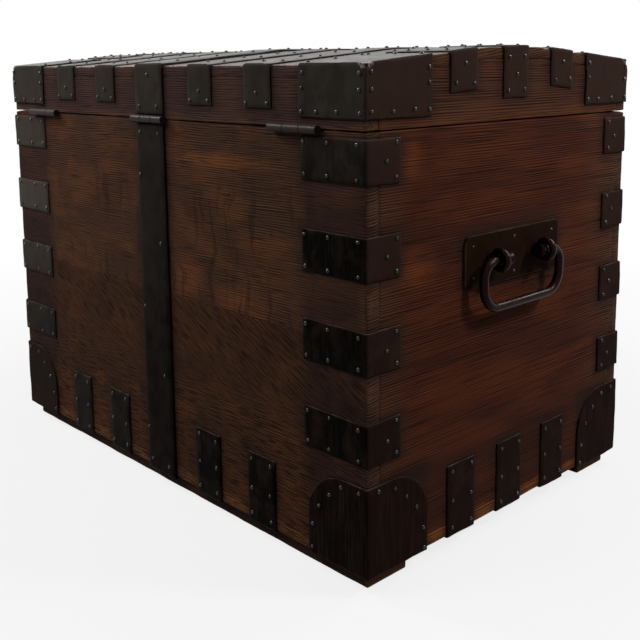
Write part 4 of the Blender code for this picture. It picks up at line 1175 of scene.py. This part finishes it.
for node in nodes_named("lid_band"):
    low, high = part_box(node)
    mesh = folded_iron(low, (high.x, high.y, LID_FACE), {(1, -1), (1, 1), (2, 1)}, SHEET, (10, 60, 12),
                       black_iron, shape=canted)
    add_piece(node.replace("lid_band", "lid_strap"), face_up(mesh), "lid", [node])
    for sy, y in ((-1, low.y), (1, high.y)):
        drive("lid", ((low.x + high.x) / 2, y, low.z + LID_BAND_ROWS[0]), (0, sy, 0))
        for x in (low.x + LID_BAND_NAIL_INSET, high.x - LID_BAND_NAIL_INSET):
            drive("lid", (x, y, low.z + LID_BAND_ROWS[1]), (0, sy, 0))
    for y in LID_TOP_NAILS:
        for x in (low.x + LID_TOP_NAIL_INSET, high.x - LID_TOP_NAIL_INSET):
            drive("lid", (x, y, LID_FACE + lid_rise(y)), lean_at(y))
for word, side in ENDS:
    outer = side * END_FACE
    near_x, far_x = sorted((outer, side * (HALF_LENGTH - LID_STRAP_RUN)))
    for number, (middle, drop) in enumerate(LID_END_STRAPS, 1):
        low = (near_x, middle - LID_STRAP_WIDTH / 2, EAVE - drop)
        high = (far_x, middle + LID_STRAP_WIDTH / 2, LID_FACE)
        mesh = folded_iron(low, high, {(0, side), (2, 1)}, SHEET, (24, 10, 12), black_iron, shape=canted)
        add_piece(f"lid_{word}_strap_{number}", face_up(mesh), "lid", [f"lid_{word}_end"])
        crest = EAVE + lid_rise(middle)
        for across in (-1, 1):
            y = middle + across * (LID_STRAP_WIDTH / 2 - LID_END_NAIL_INSET)
            drive("lid", (outer, y, crest - drop + LID_END_NAIL_FOOT), (side, 0, 0))
            if drop == LONG_DROP:
                drive("lid", (outer, y, crest - LONG_STRAP_NAIL_TOP), (side, 0, 0))
            for run in LID_END_NAIL_RUNS:
                drive("lid", (outer - side * run, y, LID_FACE + lid_rise(y)), lean_at(y))
        down = LONG_STRAP_NAIL_MIDDLE if drop == LONG_DROP else SHORT_STRAP_NAIL_MIDDLE
        drive("lid", (outer, middle, crest - down), (side, 0, 0))


# Hinges
# A long strap hinge of thicker iron at the middle runs down the back and over the lid. Two butt hinges at
# its sides are let into the joint, so that only their barrels show. Each turns on an iron pin.

STRAP_THICKNESS = 0.0035
STRAP_FOLD = 0.004
STRAP_NAIL_X = 0.020
STRAP_NAILS = ((0.0245, 0.423), (-0.0180, 0.336), (0.0245, 0.2465), (-0.0170, 0.158), (0.0250, 0.078))
STRAP_TOP_ROW, STRAP_FOOT_ROW, STRAP_FRONT_ROW = 0.012, 0.016, 0.009
STRAP_LID_ROW, STRAP_CREST_ROW = 0.010, 0.014
STRAP_LID_NAILS = np.linspace(-0.22, 0.22, 8)
BARREL_RADIUS = 0.005
BARREL_ROOM = 0.0008
BARREL_EASE = 0.0005
BARREL_STEPS = 28
BORE = 0.0027
KNUCKLE_GAP = 0.0003
LEAF_GAP = 0.00025
LEAF_THICKNESS = 0.0015
LEAF_INSET = 0.001
LEAF_EASE = (0.2, 0.2, 0.2)
PIN_ROOM = 0.0005
hinge_iron = iron(
    "hinge_iron", black=(0.0022, 0.0014, 0.0010, 1), grey=(0.026, 0.0215, 0.0185, 1),
    rust=(0.010, 0.0056, 0.0042, 1), bare=(0.045, 0.038, 0.032, 1), rough=(0.34, 0.54), streaks=0.08)
barrel_iron = iron(
    "barrel_iron", black=(0.0150, 0.0105, 0.0092, 1), grey=(0.030, 0.0235, 0.0205, 1),
    rust=(0.014, 0.0085, 0.0065, 1), bare=(0.08, 0.07, 0.06, 1), gloss=0.03, rough=(0.30, 0.46))
pin_low, pin_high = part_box("hinge_pin_centre")
HINGE_Y = (pin_low.y + pin_high.y) / 2
HINGE_Z = (LID_BOTTOM + CARCASE_TOP) / 2
STRAP_Y = HALF_DEPTH + SEAT + STRAP_THICKNESS
STRAP_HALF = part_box("hinge_strap_upper")[1].x
STRAP_TOP = HINGE_Z - BARREL_RADIUS - BARREL_ROOM
STRAP_FOOT = HINGE_Z + BARREL_RADIUS + BARREL_ROOM
FRONT_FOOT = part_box("lid_band_left")[0].z
FRONT_END = -HALF_DEPTH + 0.01
OVER_FACE = EAVE + SEAT + STRAP_THICKNESS


def knuckles(spans):
    """Lengths of barrel rolled from the leaf, bored for the pin, with their ends eased."""
    barrel = bmesh.new()
    for start, end in spans:
        profile = [(start, BORE), (start, BARREL_RADIUS - BARREL_EASE), (start + BARREL_EASE, BARREL_RADIUS),
                   (end - BARREL_EASE, BARREL_RADIUS), (end, BARREL_RADIUS - BARREL_EASE), (end, BORE)]
        rings = []
        for step in range(BARREL_STEPS):
            turn = math.tau * step / BARREL_STEPS
            rings.append([barrel.verts.new((x, HINGE_Y + r * math.cos(turn), HINGE_Z + r * math.sin(turn)))
                          for x, r in profile])
        for ring, following in zip(rings, rings[1:] + rings[:1]):
            for a in range(len(profile)):
                b = (a + 1) % len(profile)
                barrel.faces.new((ring[a], ring[b], following[b], following[a]))
    bmesh.ops.recalc_face_normals(barrel, faces=barrel.faces)
    return cast("knuckles", barrel, barrel_iron)


def knuckle_spans(pin_low, pin_high):
    """Along a pin, the carcase has the two outer knuckles of a barrel and the lid the middle one."""
    middle, length = (pin_low.x + pin_high.x) / 2, pin_high.x - pin_low.x
    third, gap = length / 3, KNUCKLE_GAP / 2
    outer = [(middle - length / 2, middle - third / 2 - gap), (middle + third / 2 + gap, middle + length / 2)]
    return outer, [(middle - third / 2 + gap, middle + third / 2 - gap)]


def lower_strap(place):
    """Brings the strap's front end down to the height of the bands."""
    if place.y < FRONT_END:
        share = (END_STRAP_TOP - hinge_low.z) / (STRAP_TOP - hinge_low.z)
        place.z = hinge_low.z + (place.z - hinge_low.z) * share
    return place


def upper_strap(place):
    """Lifts the strap to the lid's cant, and brings its front end to the height of the lid's bands."""
    if place.y < FRONT_END:
        place.z = OVER_FACE - (OVER_FACE - place.z) * (OVER_FACE - FRONT_FOOT) / (OVER_FACE - STRAP_FOOT)
    return canted(place)


outer, middle = knuckle_spans(pin_low, pin_high)
mesh = folded_iron((-STRAP_HALF, -STRAP_Y, hinge_low.z), (STRAP_HALF, STRAP_Y, STRAP_TOP),
                   {(1, -1), (1, 1), (2, -1)}, STRAP_THICKNESS, (10, 44, 60), hinge_iron,
                   fold=STRAP_FOLD, shape=lower_strap)
mesh = join("centre_hinge_lower", [mesh, knuckles(outer)])
add_piece("centre_hinge_lower", mesh, "carcase", ["hinge_strap_lower"])
mesh = folded_iron((-STRAP_HALF, -STRAP_Y, STRAP_FOOT), (STRAP_HALF, STRAP_Y, OVER_FACE),
                   {(1, -1), (1, 1), (2, 1)}, STRAP_THICKNESS, (10, 60, 14), black_iron,
                   fold=STRAP_FOLD, shape=upper_strap)
mesh = join("centre_hinge_upper", [face_up(mesh), knuckles(middle)])
add_piece("centre_hinge_upper", mesh, "lid", ["hinge_strap_upper"])
for x, z in STRAP_NAILS:
    drive("carcase", (x, STRAP_Y, z), (0, 1, 0))
for x in (-STRAP_NAIL_X, STRAP_NAIL_X):
    drive("carcase", (x, STRAP_Y, STRAP_TOP - STRAP_TOP_ROW), (0, 1, 0))
    drive("carcase", (x, STRAP_Y, hinge_low.z + STRAP_FOOT_ROW), (0, 1, 0))
    drive("carcase", (x, -STRAP_Y, END_STRAP_TOP - STRAP_FRONT_ROW), (0, -1, 0))
    drive("carcase", (x, -STRAP_Y, hinge_low.z + STRAP_FOOT_ROW), (0, -1, 0))
    drive("lid", (x, STRAP_Y, STRAP_FOOT + STRAP_LID_ROW), (0, 1, 0))
    drive("lid", (x, -STRAP_Y, FRONT_FOOT + STRAP_LID_ROW), (0, -1, 0))
    for y in STRAP_LID_NAILS:
        drive("lid", (x, y, OVER_FACE + lid_rise(y)), lean_at(y))
for sy in (1, -1):
    drive("lid", (0, sy * STRAP_Y, OVER_FACE - STRAP_CREST_ROW), (0, sy, 0))
for word in ("left", "right"):
    outer, middle = knuckle_spans(*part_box("hinge_pin_" + word))
    for part, spans, body, up in (("lower", outer, "carcase", -1), ("upper", middle, "lid", 1)):
        name, node = f"{word}_hinge_{part}", f"side_hinge_{word}_{part}_leaf"
        low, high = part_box(node)
        foot, top = sorted((HINGE_Z + up * LEAF_GAP, HINGE_Z + up * (LEAF_GAP + LEAF_THICKNESS)))
        leaves = [knuckles(spans)]
        for start, end in spans:
            leaves.append(block_mesh((start, low.y, foot), (end, HINGE_Y - BORE - PIN_ROOM, top), (8, 4, 2),
                                     LEAF_EASE, LEAF_EASE, hinge_iron))
        leaves.append(block_mesh((low.x, low.y, foot), (high.x, HALF_DEPTH - LEAF_INSET, top), (20, 4, 2),
                                 LEAF_EASE, LEAF_EASE, hinge_iron))
        add_piece(name, join(name, leaves), body, [node])


def refinish(node, finish):
    """Keeps a solid as it is, under a better finish."""
    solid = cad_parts[node]
    solid.data.materials.clear()
    solid.data.materials.append(finish)


for word in ("left", "centre", "right"):
    refinish("hinge_pin_" + word, barrel_iron)


# Handles
# On each end a plate of forged iron with two eyes riveted through it, and a round bar bent to a drop handle.
# The bar's ends turn in through the eyes and are headed over, and hands have polished it.

PLATE_ROUND = 0.009
PLATE_THICKNESS = 0.003
PLATE_BEVEL = 0.0009
PLATE_STRAY = 0.0006
PLATE_INSET = 0.002
PLATE_RIM = 0.0015
PLATE_NAILS = (
    (0.0, 0.021), (-0.078, 0.018), (0.078, 0.018), (-0.078, -0.018), (0.078, -0.018), (0.0, -0.021),
)
PLATE_NAIL_SINK = 0.0013
EYE_Y = 0.046
EYE_RING = 0.0103
EYE_ROD = 0.0042
EYE_SINK = 0.001
EYE_STEPS = 40
COLLAR = ((-0.001, 0.0085), (0.0, 0.0085), (0.0012, 0.0080), (0.003, 0.0052))
BAIL_ROD = 0.0055
BAIL_HALF = 0.0755
BAIL_DROP = 0.055
BAIL_BENDS = (0.018, 0.027, 0.027, 0.018)
BAIL_TURNS = ((BAIL_HALF, 0), (BAIL_HALF, -BAIL_DROP), (-BAIL_HALF, -BAIL_DROP), (-BAIL_HALF, 0))
HEAD_ROOT = 0.0412
HEAD_TIP = 0.0287
HEAD_RADIUS = 0.0088
HEAD = (
    (0.0, HEAD_RADIUS * 0.72), (0.0009, HEAD_RADIUS), (0.0035, HEAD_RADIUS * 0.95), (0.009, BAIL_ROD * 1.08),
)
plate_iron = iron(
    "plate_iron", black=(0.0082, 0.0037, 0.0019, 1), grey=(0.022, 0.0112, 0.0070, 1),
    rust=(0.014, 0.0058, 0.0028, 1), bare=(0.036, 0.023, 0.015, 1))
worn_iron = iron(
    "worn_iron", black=(0.0105, 0.0046, 0.0040, 1), grey=(0.026, 0.0132, 0.0118, 1),
    rust=(0.014, 0.0060, 0.0048, 1), bare=(0.06, 0.036, 0.031, 1), metal=0.6, gloss=0.0, rough=(0.15, 0.32))


def bend(points, radii, steps=10):
    """A line of points with its inner corners bent to these radii."""
    line = [Vector(points[0])]
    for before, corner, after, radius in zip(points, points[1:], points[2:], radii):
        corner = Vector(corner)
        back, on = (Vector(before) - corner).normalized(), (Vector(after) - corner).normalized()
        half = back.angle(on) / 2
        centre = corner + (back + on).normalized() * radius / math.sin(half)
        start, end = corner + back * radius / math.tan(half), corner + on * radius / math.tan(half)
        for step in range(steps + 1):
            arm = (start - centre).slerp(end - centre, step / steps)
            line.append(centre + arm.normalized() * radius)
    line.append(Vector(points[-1]))
    return line


def bar_mesh(name, points, radii, finish):
    """A round bar along a line of points, of these radii, a little uneven from the hammer."""
    curve = bpy.data.curves.new(name, "CURVE")
    curve.dimensions = "3D"
    curve.bevel_depth, curve.bevel_resolution, curve.use_fill_caps = 1.0, 6, True
    spline = curve.splines.new("POLY")
    spline.points.add(len(points) - 1)
    for spot, place, radius in zip(spline.points, points, radii):
        spot.co = (*place, 1)
        spot.radius = radius
    bar = put(name, curve)
    mesh = plain_mesh(bar)
    bpy.data.objects.remove(bar)
    for vert in mesh.vertices:
        vert.co += noise.noise_vector(vert.co * 90) * HAMMER_DENT
    mesh.materials.append(finish)
    return mesh


def plate_mesh(x, side, half_y, half_z, z):
    """A flat plate with rounded corners and a hammered edge."""
    plate = bmesh.new()
    square = [(half_y, half_z), (half_y, -half_z), (-half_y, -half_z), (-half_y, half_z)]
    square = [(0, half_z), *square, (0, half_z)]
    outline = bend([Vector((0, a, b)) for a, b in square], [PLATE_ROUND] * 4, 8)[:-1]
    spots = []
    for spot in outline:
        y = spot.y + noise.noise(spot * 60) * PLATE_STRAY
        spots.append(plate.verts.new((x, y, z + spot.z + noise.noise(spot * 70) * PLATE_STRAY)))
    lifted = bmesh.ops.extrude_face_region(plate, geom=[plate.faces.new(spots)])["geom"]
    for vert in (item for item in lifted if isinstance(item, bmesh.types.BMVert)):
        vert.co.x += side * PLATE_THICKNESS
    bmesh.ops.recalc_face_normals(plate, faces=plate.faces)
    raised = {vert for vert in plate.verts if abs(vert.co.x - x) > PLATE_THICKNESS / 2}
    rims = [edge for edge in plate.edges if raised.issuperset(edge.verts)]
    bmesh.ops.bevel(plate, geom=rims, offset=PLATE_BEVEL, segments=3, profile=0.5, affect="EDGES")
    top = [face for face in plate.faces if face.normal.x * side > 0.99 and face.calc_area() > 0.001]
    bmesh.ops.inset_region(plate, faces=top, thickness=PLATE_INSET, depth=0.0)
    rim = plate.verts.layers.float.new("rim")
    for vert in plate.verts:
        edge = min(half_y - abs(vert.co.y), half_z - abs(vert.co.z - z))
        vert[rim] = 1.0 if edge < PLATE_RIM else 0.0
    return cast("plate", plate, plate_iron)


def ring_line(middle, radius):
    """A closed ring of points about the y axis."""
    turns = [math.tau * step / EYE_STEPS for step in range(EYE_STEPS + 1)]
    return [middle + radius * Vector((math.cos(turn), 0, math.sin(turn))) for turn in turns]


for word, side in ENDS:
    low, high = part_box(word + "_handle_plate")
    z = (low.z + high.z) / 2
    back_x = side * (HALF_LENGTH + SEAT)
    face_x = back_x + side * PLATE_THICKNESS
    bail_x = face_x + side * (EYE_RING + EYE_ROD - EYE_SINK)
    parts = [plate_mesh(back_x, side, high.y, (high.z - low.z) / 2, z)]
    for y in (-EYE_Y, EYE_Y):
        ring = ring_line(Vector((bail_x, y, z)), EYE_RING)
        parts.append(bar_mesh("eye", ring, [EYE_ROD] * len(ring), worn_iron))
        collar = [Vector((face_x + side * run, y, z)) for run, _ in COLLAR]
        parts.append(bar_mesh("collar", collar, [radius for _, radius in COLLAR], plate_iron))
    name, node = word + "_plate", word + "_handle_plate"
    add_piece(name, join(name, parts), "carcase", [node])
    for y, up in PLATE_NAILS:
        drive("carcase", (face_x - side * PLATE_NAIL_SINK, y, z + up), (side, 0, 0))
    head = [Vector((bail_x, HEAD_TIP + run, z)) for run, _ in HEAD]
    foot = [Vector((bail_x, -spot.y, z)) for spot in reversed(head)]
    turns = [(bail_x, y, z + drop) for y, drop in BAIL_TURNS]
    line = bend([(bail_x, HEAD_ROOT, z), *turns, (bail_x, -HEAD_ROOT, z)], BAIL_BENDS)
    head_radii = [radius for _, radius in HEAD]
    radii = head_radii + [BAIL_ROD] * len(line) + head_radii[::-1]
    mesh = bar_mesh(word + "_handle", head + line + foot, radii, worn_iron)
    add_piece(word + "_handle", smoothed(mesh, 50), word + "_bail", [word + "_bail"])


# Lock
# A box lock let into the front wall from inside, with a sliding bolt, and a link plate under the lid's rail.
# The link drops through the lock's top and the bolt shoots through its eye. All are plain iron.

for node, finish in (("lock_case", hinge_iron), ("lock_link_plate", hinge_iron), ("lock_bolt", worn_iron)):
    refinish(node, finish)


# Nails
# Clenched iron nails with low domed heads, made by hand, so no two are quite alike.
# They hold every iron to the boards, in the places noted as each iron was made.

NAIL_RADIUS = 0.0026
NAIL_HEIGHT = 0.0020
NAIL_UNLIKE = 0.14
NAIL_SEED = 5
nail_iron = iron(
    "nail_iron", black=(0.0036, 0.0026, 0.0020, 1), grey=(0.030, 0.025, 0.021, 1),
    rust=(0.012, 0.007, 0.005, 1), bare=(0.05, 0.042, 0.035, 1), gloss=0.18, rough=(0.10, 0.22))


def plant_nail_tree():
    """Nail heads on marked points, each turned the way its point faces and a little different in size."""
    sockets = {"Places": "Geometry", "Radius": "Float", "Height": "Float", "Unlike": "Float"}
    sockets.update({"Seed": "Int", "Iron": "Material"})
    tree, names, given, out = new_tree("driven_nails", "GeometryNodeTree", sockets, {"Nails": "Geometry"})
    tree.is_modifier = True
    size = {"X": given["Radius"], "Y": given["Radius"], "Z": given["Height"]}
    size = add_node(tree, "ShaderNodeCombineXYZ", size).outputs[0]
    ball = {"Segments": 10, "Rings": 6, "Radius": 1.0}
    ball = add_node(tree, "GeometryNodeMeshUVSphere", ball).outputs["Mesh"]
    head = add_node(tree, "GeometryNodeTransform", {"Geometry": ball, "Scale": size}).outputs[0]
    facing = {"Name": "facing"}
    facing = add_node(tree, "GeometryNodeInputNamedAttribute", facing, data_type="FLOAT_VECTOR").outputs[0]
    turn = add_node(tree, "FunctionNodeAlignRotationToVector", {"Vector": facing}, axis="Z").outputs[0]
    unlike = {"Min": calc("SUBTRACT", 1.0, given["Unlike"]), "Seed": given["Seed"]}
    unlike["Max"] = calc("ADD", 1.0, given["Unlike"])
    scale = add_node(tree, "FunctionNodeRandomValue", unlike, data_type="FLOAT_VECTOR").outputs[0]
    placed = {"Points": given["Places"], "Instance": head, "Rotation": turn, "Scale": scale}
    heads = add_node(tree, "GeometryNodeInstanceOnPoints", placed).outputs[0]
    solid = add_node(tree, "GeometryNodeRealizeInstances", {"Geometry": heads}).outputs[0]
    smooth = add_node(tree, "GeometryNodeSetShadeSmooth", {"Geometry": solid}).outputs[0]
    done = add_node(tree, "GeometryNodeSetMaterial", {"Geometry": smooth, "Material": given["Iron"]})
    tree.links.new(done.outputs[0], out[0])
    return tree, names


nail_tree, nail_inputs = plant_nail_tree()
nail_values = {"Radius": NAIL_RADIUS, "Height": NAIL_HEIGHT, "Unlike": NAIL_UNLIKE, "Seed": NAIL_SEED}
for body, driven in nails.items():
    marks = bpy.data.meshes.new("nail_marks")
    marks.from_pydata([place for place, _ in driven], [], [])
    facing = marks.attributes.new("facing", "FLOAT_VECTOR", "POINT")
    facing.data.foreach_set("vector", np.array([way for _, way in driven], np.float32).ravel())
    mesh = grow(nail_tree, nail_inputs, {**nail_values, "Iron": nail_iron}, marks)
    piece = put(body + "_nails", mesh)
    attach(piece, body)


# Floor, light and camera
# A pale floor that keeps the chest's shadow, in white surroundings, with soft lamps on all four sides
# and one above. The camera stands where the photograph was taken, its picture shifted down.

FLOOR_HALF = 9
FLOOR_GREY = 0.32
FLOOR_CLEAR = (0.5, 1.6)
FLOOR_WHITE = (0.81, 1.0)
SKY_LIGHT = 0.13
FOCAL_PIXELS = 946
PICTURE_PIXELS = 640
FILM = 36
PICTURE_SHIFT = -0.18
CAMERA_PLACE = (-1.039, 0.924, 0.567)
YAW, PITCH, ROLL = (math.radians(angle) for angle in (-43.02, -8.60, -0.67))


def seen_rays(tree):
    """One for rays from the camera, and for those that metal or glass sends on; nought for the lighting."""
    ray = add_node(tree, "ShaderNodeLightPath").outputs
    sent_on = calc("MAXIMUM", ray["Is Glossy Ray"], ray["Is Transmission Ray"])
    return calc("MAXIMUM", ray["Is Camera Ray"], sent_on)


floor_mesh = bpy.data.meshes.new("floor")
corners = [(sx * FLOOR_HALF, sy * FLOOR_HALF, 0) for sx, sy in ((-1, -1), (1, -1), (1, 1), (-1, 1))]
floor_mesh.from_pydata(corners, [], [(0, 1, 2, 3)])
floor = put("floor", floor_mesh)
floor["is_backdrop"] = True
pale, tree, paint_coat, ground = start_finish("pale_floor")
paint_coat.inputs["Base Color"].default_value = (FLOOR_GREY, FLOOR_GREY, FLOOR_GREY, 1)
paint_coat.inputs["Roughness"].default_value = 0.9
paint_coat.inputs["Specular IOR Level"].default_value = 0.0
white = add_node(tree, "ShaderNodeEmission", {"Color": (1, 1, 1, 1), "Strength": 1.0}).outputs[0]
far = add_node(tree, "ShaderNodeVectorMath", {0: ground}, operation="LENGTH").outputs["Value"]
clearing = {"Value": far, "From Min": FLOOR_CLEAR[0], "From Max": FLOOR_CLEAR[1]}
clearing.update({"To Min": FLOOR_WHITE[0], "To Max": FLOOR_WHITE[1]})
share = add_node(tree, "ShaderNodeMapRange", clearing).outputs[0]
share = times(seen_rays(tree), share)
both = add_node(tree, "ShaderNodeMixShader", {0: share, 1: paint_coat.outputs[0], 2: white})
tree.links.new(both.outputs[0], tree.nodes["Material Output"].inputs["Surface"])
floor_mesh.materials.append(pale)

world = bpy.data.worlds.new("studio")
bpy.context.scene.world = world
world.use_nodes = True
tree = world.node_tree
sky = tree.nodes["Background"]
sky.inputs["Color"].default_value = (1, 1, 1, 1)
brightness = times_plus(seen_rays(tree), 1 - SKY_LIGHT, SKY_LIGHT)
tree.links.new(brightness, sky.inputs["Strength"])

for name, place, aim, size, power in (
    ("lamp_back", (0.6, 1.55, 1.75), (0.0, 0.25, 0.45), 0.9, 33),
    ("lamp_left", (-1.65, -0.9, 1.75), (-0.38, 0.0, 0.45), 0.34, 47),
    ("lamp_front", (-0.6, -1.75, 1.75), (0.0, -0.25, 0.45), 0.9, 38),
    ("lamp_right", (1.65, 0.9, 1.75), (0.38, 0.0, 0.45), 0.5, 40),
    ("lamp_top", (0.0, 0.0, 2.9), (0.0, 0.0, 0.5), 2.0, 20),
):
    lamp = put(name, bpy.data.lights.new(name, "AREA"))
    lamp.data.size, lamp.data.energy = size, power
    lamp.location = place
    lamp.rotation_euler = (Vector(aim) - Vector(place)).to_track_quat("-Z", "Y").to_euler()

camera = put("camera", bpy.data.cameras.new("camera"))
camera.data.sensor_width = FILM
camera.data.lens = FOCAL_PIXELS / PICTURE_PIXELS * FILM
camera.data.shift_y = PICTURE_SHIFT
camera.location = CAMERA_PLACE
ahead = Vector((math.cos(YAW) * math.cos(PITCH), math.sin(YAW) * math.cos(PITCH), math.sin(PITCH)))
right = ahead.cross(Vector((0, 0, 1))).normalized()
up = right.cross(ahead)
rolled = right * math.cos(ROLL) + up * math.sin(ROLL)
up = up * math.cos(ROLL) - right * math.sin(ROLL)
camera.rotation_mode = "QUATERNION"
turn = camera.matrix_world.to_3x3()
turn.col[0], turn.col[1], turn.col[2] = rolled, up, -ahead
camera.rotation_quaternion = turn.to_quaternion()
bpy.context.scene.camera = camera
bpy.context.scene.view_settings.view_transform = "Standard"

low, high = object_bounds()
